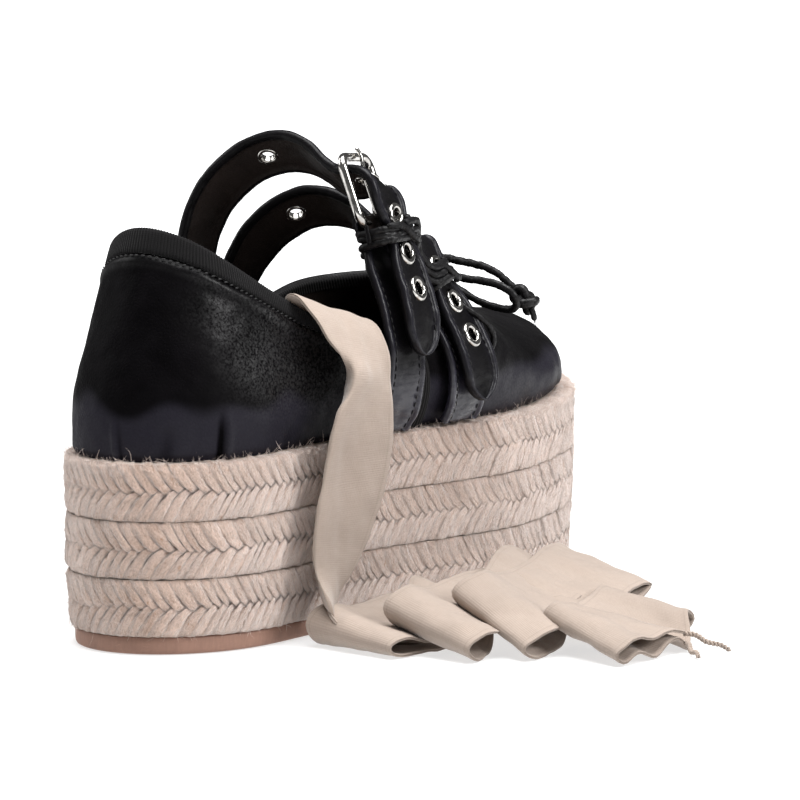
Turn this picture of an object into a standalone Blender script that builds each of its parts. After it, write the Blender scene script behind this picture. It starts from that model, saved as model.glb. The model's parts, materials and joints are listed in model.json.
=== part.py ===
"""A right-foot platform espadrille ballet flat, built as the maker puts it together.

The sole is a thin outsole under three courses of braided rope. The upper is one
soft leather shell, open along its top line. Two straps cross the instep and are
buckled on the outer side, a cord is tied in a bow at the throat, and one ribbon
tie comes out of the collar and lies in pleats on the floor.

Frame: +Y runs from heel to toe, +X to the wearer's right (the outer side), +Z is up.
Tables are in millimetres, with y counted from the heel's back edge; every mesh is
made in metres about an origin on the ground under the middle of the heel seat.
"""
import bpy
import bmesh
import numpy as np
from mathutils import Vector

MM = 0.001
HEEL_SEAT = np.array([0.0, 35.0, 0.0])   # the origin, in the tables' millimetres

# ---------------------------------------------------------------- driving dimensions (mm)
LENGTH = 249.0            # rope sole, heel to toe
OUTSOLE_THICK = 5.8
COURSE_PITCH = 18.75      # height of one rope course
COURSES = 3
SOLE_TOP = OUTSOLE_THICK + COURSES * COURSE_PITCH
ROPE_ROUND = 2.6          # how far a course's side rounds in at its seams
HEEL_TAPER = 2.3          # the sole draws in this much towards the ground
TOE_SPRING = 6.2          # lift of the toe's tip
SPRING_START = 0.66       # share of the length where the lift begins
GAP = 0.3                 # running gap between pieces that touch
PIECE_GAP = 0.4           # gap round an eyelet's flange and at a keeper's ends
WALL = 1.8                # leather and lining of the upper
TOE_TIP_X = -5.7          # the toe's tip leans to the inner side

AROUND = 56               # stations round the shoe

# share of length | half width, outer side | half width, inner side
SOLE_WIDTHS = (
    (0.04, 22.5, 23.0),
    (0.15, 35.5, 32.8),
    (0.30, 35.3, 30.5),
    (0.45, 36.2, 29.0),
    (0.58, 41.5, 33.0),
    (0.68, 43.2, 38.5),
    (0.78, 40.0, 41.0),
    (0.88, 32.3, 38.3),
    (0.96, 14.5, 29.0),
)

# One row for each rib of the upper, from the sole up to the top line.
# share of length | top line x | y | height over the sole | lower handle out | up | upper handle out | down
OUTER_RIBS = (
    (0.04, 13.5, 25.0, 71.0, 2.0, 22.0, 6.0, 24.0),
    (0.15, 24.0, 37.0, 62.0, 3.0, 20.0, 5.5, 20.0),
    (0.30, 30.5, 70.0, 43.5, 4.0, 14.0, 4.0, 13.0),
    (0.45, 36.0, 103.0, 32.0, 8.0, 11.0, 5.0, 10.0),
    (0.58, 36.5, 130.0, 31.0, 6.5, 13.0, 5.0, 9.0),
    (0.70, 30.5, 153.0, 37.5, 5.0, 18.0, 9.0, 8.0),
    (0.80, 20.0, 166.0, 39.5, 7.2, 17.5, 12.1, 14.7),
    (0.90, 8.0, 172.5, 43.2, 9.8, 21.1, 17.9, 21.2),
)
INNER_RIBS = (
    (0.04, -13.0, 25.0, 69.5, 2.0, 22.0, 6.0, 24.0),
    (0.15, -23.0, 38.0, 59.0, 3.0, 20.0, 5.5, 20.0),
    (0.30, -29.0, 70.0, 44.0, 3.0, 14.0, 3.0, 13.0),
    (0.45, -31.0, 103.0, 37.5, 4.5, 13.0, 3.0, 10.0),
    (0.58, -32.0, 128.0, 37.5, 4.5, 14.0, 4.0, 8.0),
    (0.70, -31.0, 146.0, 41.5, 4.0, 18.0, 7.0, 9.0),
    (0.80, -26.0, 160.0, 43.2, 4.0, 20.0, 13.0, 14.0),
    (0.90, -18.0, 170.0, 43.9, 5.0, 22.0, 21.0, 21.0),
)
HEEL_RIB = (0.0, 0.5, 21.0, 73.5, 1.5, 22.0, 6.0, 24.0)
TOE_RIB = (1.0, -6.0, 174.0, 43.4, 3.7, 35.5, 24.8, 25.4)
# share of length | inset from the rope's side
FEATHER_INSET = ((0.0, 2.8), (0.3, 3.4), (0.6, 4.8), (1.0, 6.5))


# ---------------------------------------------------------------- curves
def periodic(angles, values, query):
    """Value at each query angle of the smooth closed curve through the given values.

    The curve is the cubic spline that joins its own start after one turn."""
    angles = np.asarray(angles, float)
    values = np.asarray(values, float)
    count = len(angles)
    step = np.diff(np.append(angles, angles[0] + 2 * np.pi))
    matrix = np.zeros((count, count))
    right = np.zeros(count)
    for i in range(count):
        before, after = step[i - 1], step[i]
        matrix[i, i - 1] += before
        matrix[i, i] += 2 * (before + after)
        matrix[i, (i + 1) % count] += after
        rise_after = (values[(i + 1) % count] - values[i]) / after
        rise_before = (values[i] - values[i - 1]) / before
        right[i] = 6 * (rise_after - rise_before)
    bend = np.linalg.solve(matrix, right)
    query = (np.asarray(query, float) - angles[0]) % (2 * np.pi) + angles[0]
    k = np.clip(np.searchsorted(angles, query, side="right") - 1, 0, count - 1)
    nxt = (k + 1) % count
    left = query - angles[k]
    rest = step[k] - left
    return ((bend[k] * rest ** 3 + bend[nxt] * left ** 3) / (6 * step[k])
            + (values[k] / step[k] - bend[k] * step[k] / 6) * rest
            + (values[nxt] / step[k] - bend[nxt] * step[k] / 6) * left)


def turn_angle(share):
    """Angle round the shoe of a station: 0 at the heel, pi at the toe."""
    return np.arccos(1 - 2 * np.asarray(share, float))


def angles_round(count=AROUND):
    """Even angles round the shoe, heel, outer side, toe, inner side."""
    return np.linspace(0, 2 * np.pi, count, endpoint=False)


def plan_normals(points):
    """Outward unit normals of a closed plan curve that runs from heel over +X to the toe."""
    along = np.roll(points, -1, axis=0) - np.roll(points, 1, axis=0)
    normals = np.stack([along[:, 1], -along[:, 0]], axis=1)
    return normals / np.linalg.norm(normals, axis=1)[:, None]


def sole_outline(angles, inset=0.0):
    """Plan of the rope sole at the given angles, drawn in by inset."""
    fine = np.linspace(0, 2 * np.pi, 1440, endpoint=False)
    share, outer, inner = np.array(SOLE_WIDTHS).T
    knots = np.concatenate([[0], turn_angle(share), [np.pi], 2 * np.pi - turn_angle(share)[::-1]])
    sides = np.concatenate([[0], outer, [TOE_TIP_X], -inner[::-1]])
    plan = np.stack([periodic(knots, sides, fine), LENGTH / 2 * (1 - np.cos(fine))], axis=1)
    if np.isscalar(inset):
        depth = np.full(len(fine), inset)
    else:
        depth = np.interp(fine, angles, inset, period=2 * np.pi)
    plan = plan - plan_normals(plan) * depth[:, None]
    return np.stack([np.interp(angles, fine, plan[:, k], period=2 * np.pi) for k in (0, 1)], axis=1)


def spring(y):
    """Lift of the sole at y: a parabola from where the toe spring starts."""
    past = np.clip((np.asarray(y) / LENGTH - SPRING_START) / (1 - SPRING_START), 0, None)
    return TOE_SPRING * past ** 2


def feather(angles):
    """The line where the upper meets the rope, as points in space."""
    share, inset = np.array(FEATHER_INSET).T
    plan = sole_outline(angles, np.interp((1 - np.cos(angles)) / 2, share, inset))
    return np.column_stack([plan, SOLE_TOP + GAP / 2 + spring(plan[:, 1])])


def rib_values(angles):
    """The seven rib columns at the given angles."""
    rows = [HEEL_RIB, *OUTER_RIBS, TOE_RIB]
    knots = [turn_angle(row[0]) for row in rows]
    knots += [2 * np.pi - turn_angle(row[0]) for row in INNER_RIBS[::-1]]
    table = np.array(rows + list(INNER_RIBS[::-1]))
    return [periodic(knots, table[:, k], angles) for k in range(1, 8)]


def top_line(angles):
    x, y, height = rib_values(angles)[:3]
    return np.column_stack([x, y, SOLE_TOP + height])


def upper_point(angles, share):
    """Outer face of the upper: each rib is a cubic curve from the sole to the top line.

    angles and share are arrays of one shape; share is 0 at the sole and 1 at the top line."""
    base_angles = angles_round(360)
    low = feather(base_angles)
    top = top_line(base_angles)
    values = rib_values(base_angles)
    low_out = plan_normals(low[:, :2])
    top_out = plan_normals(top[:, :2])
    along = np.stack([-low_out[:, 1], low_out[:, 0]], axis=1)
    shear = np.sum((top - low)[:, :2] * along, axis=1)[:, None] * along / 3
    up = np.array([0, 0, 1.0])
    flat = lambda plan: np.column_stack([plan, np.zeros(len(plan))])
    one = low + flat(shear + low_out * values[3][:, None]) + up * values[4][:, None]
    two = top - flat(shear - top_out * values[5][:, None]) - up * values[6][:, None]
    closed = np.append(base_angles, 2 * np.pi)
    pick = lambda pts: np.stack([np.interp(angles % (2 * np.pi), closed, np.append(pts[:, k], pts[0, k]))
                                 for k in range(3)], axis=-1)
    s = np.asarray(share, float)[..., None]
    return (pick(low) * (1 - s) ** 3 + 3 * pick(one) * s * (1 - s) ** 2
            + 3 * pick(two) * s ** 2 * (1 - s) + pick(top) * s ** 3)


# ---------------------------------------------------------------- dimensions of straps, cords and tie (mm)
STRAP_WIDTH = 19.6
STRAP_WEB = 1.6           # flat leather between the two piped edges
STRAP_BEAD = 1.4          # radius of a piped edge
BUCKLE_HALF_LENGTH = 11.5
BUCKLE_BAR = 1.5          # radius of the buckle frame's wire
BUCKLE_SLACK = 1.1        # room beside the strap in the frame
PRONG_CLEAR = 0.5         # the prong's ends over the frame's bars
KEEPER_SLACK = 1.2        # room between the wrapped lace and the straps
PRONG_BAR = 1.0
EYELET_RADIUS = 4.4
EYELET_HOLE = 2.5
EYELET_DOME = 0.8
PRONG_HOLE = 3.1          # the hole that the prong goes through
LACE = 2.4                # diameter of the leather lace
LACE_FLAT = 2.0           # thickness of the lace where it is wrapped round a strap
RIBBON_THICK = 1.0
INSOLE_THICK = 2.5
BINDING_PROUD = 0.35      # how far the binding stands out from the wall it covers

# share of length | depth of the grosgrain binding down the wall
BINDING_DEPTH = ((0.0, 8.0), (0.15, 7.0), (0.35, 4.2), (0.6, 3.0), (1.0, 3.0))

# The long straps from the sole on the inner side, over the instep, to the tail's tip.
# x | y | z | tilt, degrees, front edge lower | yaw, degrees, front edge outward
REAR_STRAP = (
    (-29.5, 95.0, 63.9, 0, 0), (-33.8, 95.5, 74.0, 0, 0),
    (-35.8, 96.0, 88.0, 2, 0), (-36.0, 96.0, 104.0, 8, 0),
    (-34.5, 96.5, 120.0, 20, 0), (-30.5, 98.0, 133.5, 32, 0), (-22.5, 101.0, 144.5, 40, 0),
    (-12.0, 104.5, 151.3, 44, 0), (-2.0, 107.0, 152.8, 46, 0), (6.0, 108.0, 150.2, 44, 0),
    (13.0, 108.2, 146.0, 41, 0), (19.5, 108.0, 144.0, 36, 0), (25.5, 108.0, 145.2, 31, 0),
    (30.6, 108.0, 144.4, 27, -1), (34.4, 109.0, 138.5, 22, -2), (36.6, 110.6, 130.0, 17, -3),
    (39.4, 111.8, 120.0, 12, -4), (43.4, 112.2, 109.0, 8, -4),
    (46.4, 111.6, 98.5, 4, -4), (47.4, 111.0, 88.5, 2, -4),
)
FRONT_STRAP = (
    (-28.0, 116.0, 63.9, 0, -5), (-33.0, 116.0, 73.0, 0, -5),
    (-35.3, 116.0, 84.0, 2, -5), (-35.4, 116.0, 95.0, 7, -4),
    (-33.0, 116.5, 106.0, 18, -2), (-27.5, 117.5, 117.0, 30, 0), (-18.0, 120.0, 127.5, 40, 0),
    (-7.0, 123.6, 133.0, 44, 0), (2.0, 126.3, 132.6, 44, 0), (10.0, 129.0, 128.8, 40, 0),
    (16.5, 131.0, 125.5, 35, 0), (22.5, 132.3, 125.7, 31, 0), (27.6, 133.4, 124.8, 27, -1),
    (31.4, 134.8, 119.5, 22, -2), (34.4, 136.6, 112.0, 17, -3), (38.4, 139.0, 103.0, 12, -3),
    (43.2, 141.0, 93.5, 7, -3), (47.2, 142.2, 83.5, 3, -3), (48.8, 142.6, 70.5, 0, -3),
)
# The short buckle straps from the sole on the outer side to the buckle's lower bar.
REAR_BASE = (
    (35.6, 107.0, 63.9, 0, 9), (39.2, 107.0, 69.0, 0, 8),
    (42.0, 107.0, 77.5, 0, 4), (43.0, 107.2, 88.0, 1, 0),
    (41.2, 107.6, 98.0, 4, 0), (37.0, 107.8, 109.0, 10, 0),
    (32.2, 107.6, 119.0, 15, 0), (29.4, 107.2, 127.2, 18, 0),
)
FRONT_BASE = (
    (40.2, 140.6, 63.9, 0, 0), (42.6, 140.6, 68.5, 0, 0),
    (43.9, 140.2, 75.5, 0, 0), (43.8, 139.4, 84.0, 3, 0),
    (39.8, 138.0, 93.0, 8, 0), (34.2, 136.4, 102.0, 14, 0), (29.2, 135.0, 108.4, 18, 0),
)
# The buckle frames: centre x | y | z | lean of the side bars from upright | tilt of the end bars, degrees
REAR_BUCKLE = (25.4, 107.9, 141.6, 22.0, 17.0)
FRONT_BUCKLE = (21.7, 132.6, 123.3, 26.0, 19.0)
FIRST_HOLE = 22.0         # from the tail's tip
HOLE_PITCH = 12.5
HOLES = 3                 # holes in the tail, apart from the prong's own
KEEPER_DROP = 5.0         # from the buckle's lower bar to the middle of the keeper

# The bow: knot, then x | y | z along each loop and tail
KNOT_AT = np.array([-6.0, 174.0, 109.8])
OUTER_LOOP = (
    (0.2, 172.4, 111.4), (6.0, 171.8, 110.4), (15.6, 173.0, 106.8),
    (26.5, 174.0, 105.6), (34.0, 174.5, 104.2),
    (38.6, 175.5, 100.8), (37.4, 177.4, 97.4), (31.0, 178.6, 96.2),
    (22.0, 178.4, 98.0), (12.0, 177.6, 102.8),
    (5.0, 176.6, 107.0), (0.6, 175.8, 108.8),
)
INNER_LOOP = (
    (-12.0, 172.4, 111.2), (-17.6, 174.6, 111.0), (-23.5, 179.5, 109.2),
    (-29.0, 186.0, 106.0), (-33.8, 193.0, 101.4),
    (-36.6, 199.6, 95.8), (-35.8, 204.4, 91.8), (-32.0, 204.8, 91.4),
    (-27.4, 199.4, 95.0), (-23.4, 192.4, 99.6), (-19.6, 185.4, 103.6),
    (-15.8, 179.4, 107.2), (-12.5, 175.4, 109.0),
)
OUTER_TAIL = (
    (-0.4, 177.0, 111.6), (6.0, 178.6, 111.8), (13.4, 179.0, 111.0),
    (24.2, 180.0, 109.2), (30.2, 182.0, 105.4),
    (35.0, 184.0, 100.2), (39.0, 185.5, 96.4), (42.0, 187.0, 91.0),
)
INNER_TAIL = (
    (-11.4, 177.8, 110.2), (-11.0, 183.0, 108.6), (-10.8, 189.0, 105.0),
    (-12.0, 196.0, 101.0), (-15.0, 202.0, 97.6),
    (-19.0, 207.6, 94.4),
)
# The tie's hanging band: x | y | z of its middle, heading of its width, rise of its width, width
RIBBON_BAND = (
    (26.6, 80.0, 82.0, 82, -0.20, 33.0), (27.3, 80.4, 93.0, 82, -0.33, 33.0),
    (28.6, 80.8, 101.6, 82, -0.40, 33.0),
    (31.2, 81.2, 104.8, 82, -0.42, 33.0), (34.6, 81.4, 105.0, 83, -0.42, 33.0),
    (38.2, 80.8, 101.8, 86, -0.34, 34.0),
    (40.8, 78.6, 92.0, 96, -0.14, 34.0), (42.4, 75.6, 80.0, 104, 0.0, 34.0),
    (43.6, 72.0, 64.0, 98, 0.0, 32.0),
    (44.6, 68.0, 46.0, 98, 0.0, 30.0), (46.2, 64.6, 28.0, 108, 0.0, 30.0),
    (47.8, 62.4, 10.4, 122, 0.0, 30.0),
)
# The heap on the floor: y | left x | right x | height
RIBBON_HEAP = (
    (44.0, 60, 84, 4.0), (50.0, 51, 102, 11.5), (60.0, 50, 116, 12.6),
    (74.0, 50, 142, 13.0), (90.0, 50, 150, 13.0),
    (110.0, 49, 147, 14.0), (130.0, 51, 138, 16.0), (150.0, 55, 126, 17.0),
    (164.0, 59, 112, 16.0), (174.0, 64, 96, 10.0),
)


def spline(knots, values, query):
    """Natural cubic spline through the values, read at query."""
    knots, values = np.asarray(knots, float), np.asarray(values, float)
    step = np.diff(knots)
    count = len(knots)
    matrix = np.eye(count)
    right = np.zeros(count)
    for i in range(1, count - 1):
        matrix[i, i - 1:i + 2] = step[i - 1], 2 * (step[i - 1] + step[i]), step[i]
        right[i] = 6 * ((values[i + 1] - values[i]) / step[i] - (values[i] - values[i - 1]) / step[i - 1])
    bend = np.linalg.solve(matrix, right)
    k = np.clip(np.searchsorted(knots, query, side="right") - 1, 0, count - 2)
    left = query - knots[k]
    rest = step[k] - left
    return ((bend[k] * rest ** 3 + bend[k + 1] * left ** 3) / (6 * step[k])
            + (values[k] / step[k] - bend[k] * step[k] / 6) * rest
            + (values[k + 1] / step[k] - bend[k + 1] * step[k] / 6) * left)


class Route:
    """A smooth path through rows of x, y, z, tilt and yaw, measured by its length.

    At each length it gives the point, the direction along, across (towards the toe
    side) and out (away from the foot)."""

    def __init__(self, rows):
        rows = np.array(rows, float)
        chord = np.concatenate([[0], np.cumsum(np.linalg.norm(np.diff(rows[:, :3], axis=0), axis=1))])
        fine = np.linspace(0, chord[-1], 1200)
        points = np.stack([spline(chord, rows[:, k], fine) for k in range(3)], axis=1)
        self.lengths = np.concatenate([[0], np.cumsum(np.linalg.norm(np.diff(points, axis=0), axis=1))])
        self.points = points
        self.tilts, self.yaws = np.radians([spline(chord, rows[:, k], fine) for k in (3, 4)])
        self.length = self.lengths[-1]

    def frame(self, s):
        s = np.asarray(s, float)
        pick = lambda at: np.stack([np.interp(at, self.lengths, self.points[:, k]) for k in range(3)],
                                   axis=-1)
        small = 0.4
        centre = pick(s)
        inner = np.clip(s, small, self.length - small)
        along = pick(inner + small) - pick(inner - small)
        along /= np.linalg.norm(along, axis=-1, keepdims=True)
        tilt = np.interp(s, self.lengths, self.tilts)
        yaw = np.interp(s, self.lengths, self.yaws)
        across = np.stack([np.sin(yaw) * np.cos(tilt), np.cos(yaw) * np.cos(tilt), -np.sin(tilt)], axis=-1)
        across -= np.sum(across * along, axis=-1, keepdims=True) * along
        across /= np.linalg.norm(across, axis=-1, keepdims=True)
        out = np.cross(along, across)
        over = s - np.clip(s, 0, self.length)
        return centre + over[..., None] * along, along, across, out


def wall_point(angles, share, offset):
    """Point off the upper's outer face along its normal; a negative offset lies inside."""
    turn, rise = 0.004, 0.004
    low = np.clip(share - rise, 0, 1)
    high = np.clip(share + rise, 0, 1)
    round_way = upper_point(angles + turn, share) - upper_point(angles - turn, share)
    up_way = upper_point(angles, high) - upper_point(angles, low)
    normal = np.cross(round_way, up_way)
    normal /= np.linalg.norm(normal, axis=-1, keepdims=True)
    return upper_point(angles, share) + normal * np.asarray(offset)[..., None]


def share_below_top(angles, depth):
    """Share of each rib that lies the given depth below the top line, measured on the leather."""
    steps = np.linspace(0, 1, 200)
    result = []
    for angle, drop in zip(angles, np.broadcast_to(depth, angles.shape)):
        rib = upper_point(np.full(200, angle), steps)
        run = np.concatenate([[0], np.cumsum(np.linalg.norm(np.diff(rib, axis=0), axis=1))])
        result.append(np.interp(run[-1] - drop, run, steps))
    return np.array(result)


def binding_depth(angles):
    share, depth = np.array(BINDING_DEPTH).T
    return np.interp((1 - np.cos(angles)) / 2, share, depth)


# ---------------------------------------------------------------- solids
def shade(mesh, angle):
    for polygon in mesh.polygons:
        polygon.use_smooth = True
    mesh.set_sharp_from_angle(angle=np.radians(angle))


def add_mesh(name, points, faces, slot, angle=40):
    """One closed solid from points in the tables' millimetres."""
    mesh = bpy.data.meshes.new(name)
    places = (np.asarray(points) - HEEL_SEAT) * MM
    mesh.from_pydata([tuple(p) for p in places], [], [tuple(f) for f in faces])
    work = bmesh.new()
    work.from_mesh(mesh)
    bmesh.ops.recalc_face_normals(work, faces=work.faces)
    work.to_mesh(mesh)
    work.free()
    shade(mesh, angle)
    mesh.materials.append(slot)
    obj = bpy.data.objects.new(name, mesh)
    PARTS.objects.link(obj)
    return obj


def loft(rings, closed=False):
    """Points and faces of a solid through rings of equal count.

    Each ring mirrors station i on station count - i, so that an end is closed by
    strips between mirrored stations. A closed loft joins its last ring to its first."""
    rings = [np.asarray(ring, float) for ring in rings]
    count = len(rings[0])
    faces = []
    for k in range(len(rings) if closed else len(rings) - 1):
        here = k * count
        there = (k + 1) % len(rings) * count
        for i in range(count):
            j = (i + 1) % count
            faces.append((here + i, here + j, there + j, there + i))
    if not closed:
        for start in (0, (len(rings) - 1) * count):
            half = count // 2
            faces.append((start, start + 1, start + count - 1))
            for i in range(1, half - 1):
                faces.append((start + i, start + i + 1, start + count - i - 1, start + count - i))
            faces.append((start + half - 1, start + half, start + half + 1))
    return np.concatenate(rings), faces


def slab(name, slot, levels, edge, angle=40):
    """A layer of the sole. levels: rows of height and inset; edge(angles, inset) gives the plan."""
    angles = angles_round()
    rings = []
    for height, inset in levels:
        plan = edge(angles, inset)
        rings.append(np.column_stack([plan, height + spring(plan[:, 1])]))
    return add_mesh(name, *loft(rings), slot, angle)


def taper(height):
    """Draw-in of the sole's side at a height, growing towards the ground."""
    return HEEL_TAPER * (1 - height / SOLE_TOP) ** 2


def make_sole():
    outer_inset = 1.5 + taper(OUTSOLE_THICK)
    slab("outsole", RUBBER, ((0.0, outer_inset + 1.2), (1.2, outer_inset),
                             (OUTSOLE_THICK - GAP / 2, outer_inset)), sole_outline, 30)
    for course in range(COURSES):
        base = OUTSOLE_THICK + course * COURSE_PITCH
        levels = []
        for share in (0.0, 0.1, 0.3, 0.7, 0.9, 1.0):
            height = base + GAP / 2 + share * (COURSE_PITCH - GAP)
            bulge = -0.8 + (ROPE_ROUND + 0.8) * abs(2 * share - 1) ** 3
            levels.append((height, bulge + taper(height)))
        slab(f"rope_course_{course + 1}", JUTE, levels, sole_outline, 60)


def insole_edge(angles, inset):
    """The feather line drawn in past the wall of the upper."""
    share, depth = np.array(FEATHER_INSET).T
    return sole_outline(angles, np.interp((1 - np.cos(angles)) / 2, share, depth) + WALL + inset)


def make_insole():
    base = SOLE_TOP + GAP / 2
    levels = ((base, 0.5), (base + INSOLE_THICK - 0.6, 0.5), (base + INSOLE_THICK, 1.1))
    slab("insole", LINING, levels, insole_edge)


def make_upper():
    """The shell: rows of ribs from the rope to just under the binding, thickened inwards."""
    angles = angles_round()
    top = share_below_top(angles, binding_depth(angles) + 2 * GAP)
    rows = 8
    points = [upper_point(angles, top * k / (rows - 1)) for k in range(rows)]
    faces = []
    for k in range(rows - 1):
        for i in range(AROUND):
            j = (i + 1) % AROUND
            faces.append((k * AROUND + i, k * AROUND + j, (k + 1) * AROUND + j, (k + 1) * AROUND + i))
    obj = add_mesh("upper", np.concatenate(points), faces, NAPPA, 50)
    thick = obj.modifiers.new("wall", "SOLIDIFY")
    thick.thickness = WALL * MM
    thick.offset = -1
    return obj


def make_binding():
    """The top-line binding: the wall's own path, a little proud on both faces and rounded over the rim."""
    angles = angles_round()
    depth = binding_depth(angles)
    low = share_below_top(angles, depth)
    middle = share_below_top(angles, depth * 0.5)
    high = share_below_top(angles, 0.9)
    rim = share_below_top(angles, 0.0)
    section = ((low, BINDING_PROUD), (middle, BINDING_PROUD), (high, BINDING_PROUD), (rim, -0.3),
               (rim, -WALL + 0.3), (high, -WALL - BINDING_PROUD), (middle, -WALL - BINDING_PROUD),
               (low, -WALL - BINDING_PROUD))
    lines = [wall_point(angles, share, np.full(len(angles), offset)) for share, offset in section]
    rings = [np.stack([line[i] for line in lines]) for i in range(len(angles))]
    add_mesh("topline_binding", *loft(rings, closed=True), GROSGRAIN, 50)


def strap_section(half_width):
    """Across and out offsets of a band with a flat web and a round bead along each edge."""
    bead = half_width - STRAP_BEAD
    meet = np.pi - np.arcsin(STRAP_WEB / 2 / STRAP_BEAD)
    turns = (0.0, -0.30 * np.pi, -0.62 * np.pi, -meet)
    front = [(bead + STRAP_BEAD * np.cos(t), STRAP_BEAD * np.sin(t)) for t in turns]
    under = front + [(-a, n) for a, n in front[::-1]]
    over = [(a, -n) for a, n in under[1:-1]][::-1]
    return np.array(under + over)


def strap_solid(name, rows, step, tip):
    """A band along its route. tip rounds its far end to a blunt point."""
    route = Route(rows)
    half = STRAP_WIDTH / 2
    stops = list(np.linspace(0, route.length - (14.0 if tip else 0.0), max(4, round(route.length / step))))
    halves = [half] * len(stops)
    if tip:
        for back, share in ((9.5, 0.97), (6.0, 0.86), (3.4, 0.70), (1.5, 0.50), (0.3, 0.30)):
            stops.append(route.length - back)
            halves.append(half * share)
    centre, along, across, out = route.frame(np.array(stops))
    rings = []
    for k, width in enumerate(halves):
        section = strap_section(width)
        rings.append(centre[k] + section[:, :1] * across[k] + section[:, 1:] * out[k])
    return route, add_mesh(name, *loft(rings), NAPPA, 50)


def stand(obj, place, up):
    """Put an object at a place in the tables' millimetres, with its own Z along up."""
    obj.location = (np.asarray(place) - HEEL_SEAT) * MM
    obj.rotation_euler = Vector(up).to_track_quat("Z", "Y").to_euler()


def pierce(obj, route, lengths, radius):
    """Round holes straight through a band at the given lengths."""
    centre, along, across, out = route.frame(np.array(lengths))
    for place, up in zip(centre, out):
        name = f"{obj.name}_hole_{len(obj.modifiers) + 1}"
        mesh = bpy.data.meshes.new(name)
        work = bmesh.new()
        bmesh.ops.create_cone(work, cap_ends=True, segments=12, radius1=radius * MM, radius2=radius * MM,
                              depth=8 * MM)
        work.to_mesh(mesh)
        work.free()
        cutter = bpy.data.objects.new(name, mesh)
        CUTTERS.objects.link(cutter)
        stand(cutter, place, up)
        cutter.hide_render = True
        cutter.display_type = "WIRE"
        cut = obj.modifiers.new("hole", "BOOLEAN")
        cut.operation = "DIFFERENCE"
        cut.solver = "EXACT"
        cut.object = cutter


def make_eyelet(name, route, length):
    """A domed ring over a hole: a profile turned about the hole's axis.

    Its flange sits on the web and its barrel goes part way in."""
    centre, along, across, out = (v[0] for v in route.frame(np.array([length])))
    face = STRAP_WEB / 2 + PIECE_GAP
    bore, barrel = EYELET_HOLE - 0.7, EYELET_HOLE - 0.3
    profile = ((bore, -0.6), (barrel, -0.6), (barrel, face), (EYELET_RADIUS, face),
               (EYELET_RADIUS - 0.7, face + EYELET_DOME * 0.8), (EYELET_HOLE - 0.1, face + EYELET_DOME),
               (bore, face + 0.3))
    mesh = bpy.data.meshes.new(name)
    count = len(profile)
    edges = [(i, (i + 1) % count) for i in range(count)]
    mesh.from_pydata([(radius * MM, 0, height * MM) for radius, height in profile], edges, [])
    mesh.materials.append(NICKEL)
    obj = bpy.data.objects.new(name, mesh)
    PARTS.objects.link(obj)
    stand(obj, centre, out)
    turn = obj.modifiers.new("turn", "SCREW")
    turn.steps = turn.render_steps = 12
    turn.use_merge_vertices = True
    turn.merge_threshold = 0.00001
    turn.use_normal_flip = True
    turn.use_smooth_shade = False


def tube(name, points, radius, slot, closed=False):
    """A round wire or cord through the given points."""
    curve = bpy.data.curves.new(name, "CURVE")
    curve.dimensions = "3D"
    curve.bevel_depth = radius * MM
    curve.bevel_resolution = 2
    curve.use_fill_caps = not closed
    line = curve.splines.new("POLY")
    line.points.add(len(points) - 1)
    for point, place in zip(line.points, (np.asarray(points) - HEEL_SEAT) * MM):
        point.co = (*place, 1)
    line.use_cyclic_u = closed
    line.use_smooth = True
    curve.materials.append(slot)
    obj = bpy.data.objects.new(name, curve)
    PARTS.objects.link(obj)
    return obj


def buckle_frame(row):
    """Centre of a buckle and its two directions: down along the side bars and across along the end bars."""
    lean, tilt = np.radians(row[3:])
    down = np.array([np.sin(lean), 0, -np.cos(lean)])
    across = np.array([0, np.cos(tilt), -np.sin(tilt)])
    across -= across @ down * down
    across /= np.linalg.norm(across)
    return np.array(row[:3]), down, across


def rounded_rectangle(centre, first, second, half_first, half_second, radius, corner_steps=4):
    """Points round a rectangle with rounded corners, in the plane of two directions."""
    points = []
    for quarter in range(4):
        side_a = 1 if quarter in (0, 3) else -1
        side_b = 1 if quarter in (0, 1) else -1
        for step in range(corner_steps):
            t = np.pi / 2 * (quarter + step / (corner_steps - 1))
            a = side_a * (half_first - radius) + radius * np.cos(t)
            b = side_b * (half_second - radius) + radius * np.sin(t)
            points.append(centre + first * a + second * b)
    return np.array(points)


def nearest_crossing(route, point, way, reach=20.0):
    """Length at which a route crosses the plane through a point square to a direction."""
    off = (route.points - point) @ way
    near = np.linalg.norm(route.points - point, axis=1) < reach
    return route.lengths[np.argmin(np.where(near, np.abs(off), 1e9))]


def make_buckle(side, row, route):
    """The wire frame and its prong, which goes through the strap and rests on the far bar."""
    centre, down, across = buckle_frame(row)
    out = np.cross(across, down)
    if out[0] < 0:
        out = -out
    half = STRAP_WIDTH / 2 + BUCKLE_BAR + BUCKLE_SLACK
    tube(f"buckle_{side}", rounded_rectangle(centre, down, across, BUCKLE_HALF_LENGTH, half, 3.6),
         BUCKLE_BAR, NICKEL, closed=True)
    lift = BUCKLE_BAR + PRONG_BAR + PRONG_CLEAR
    path = [centre + down * (BUCKLE_HALF_LENGTH + 0.2) + out * lift,
            centre + down * (BUCKLE_HALF_LENGTH - 3.0) + out * (lift - 1.0),
            centre + out * (lift - 1.0),
            centre - down * (BUCKLE_HALF_LENGTH - 4.5) + out * (lift - 1.0),
            centre - down * (BUCKLE_HALF_LENGTH + 1.4) + out * lift]
    tube(f"prong_{side}", path, PRONG_BAR, NICKEL)
    return nearest_crossing(route, centre + out * (lift - 1.0), out, 14.0)


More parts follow.
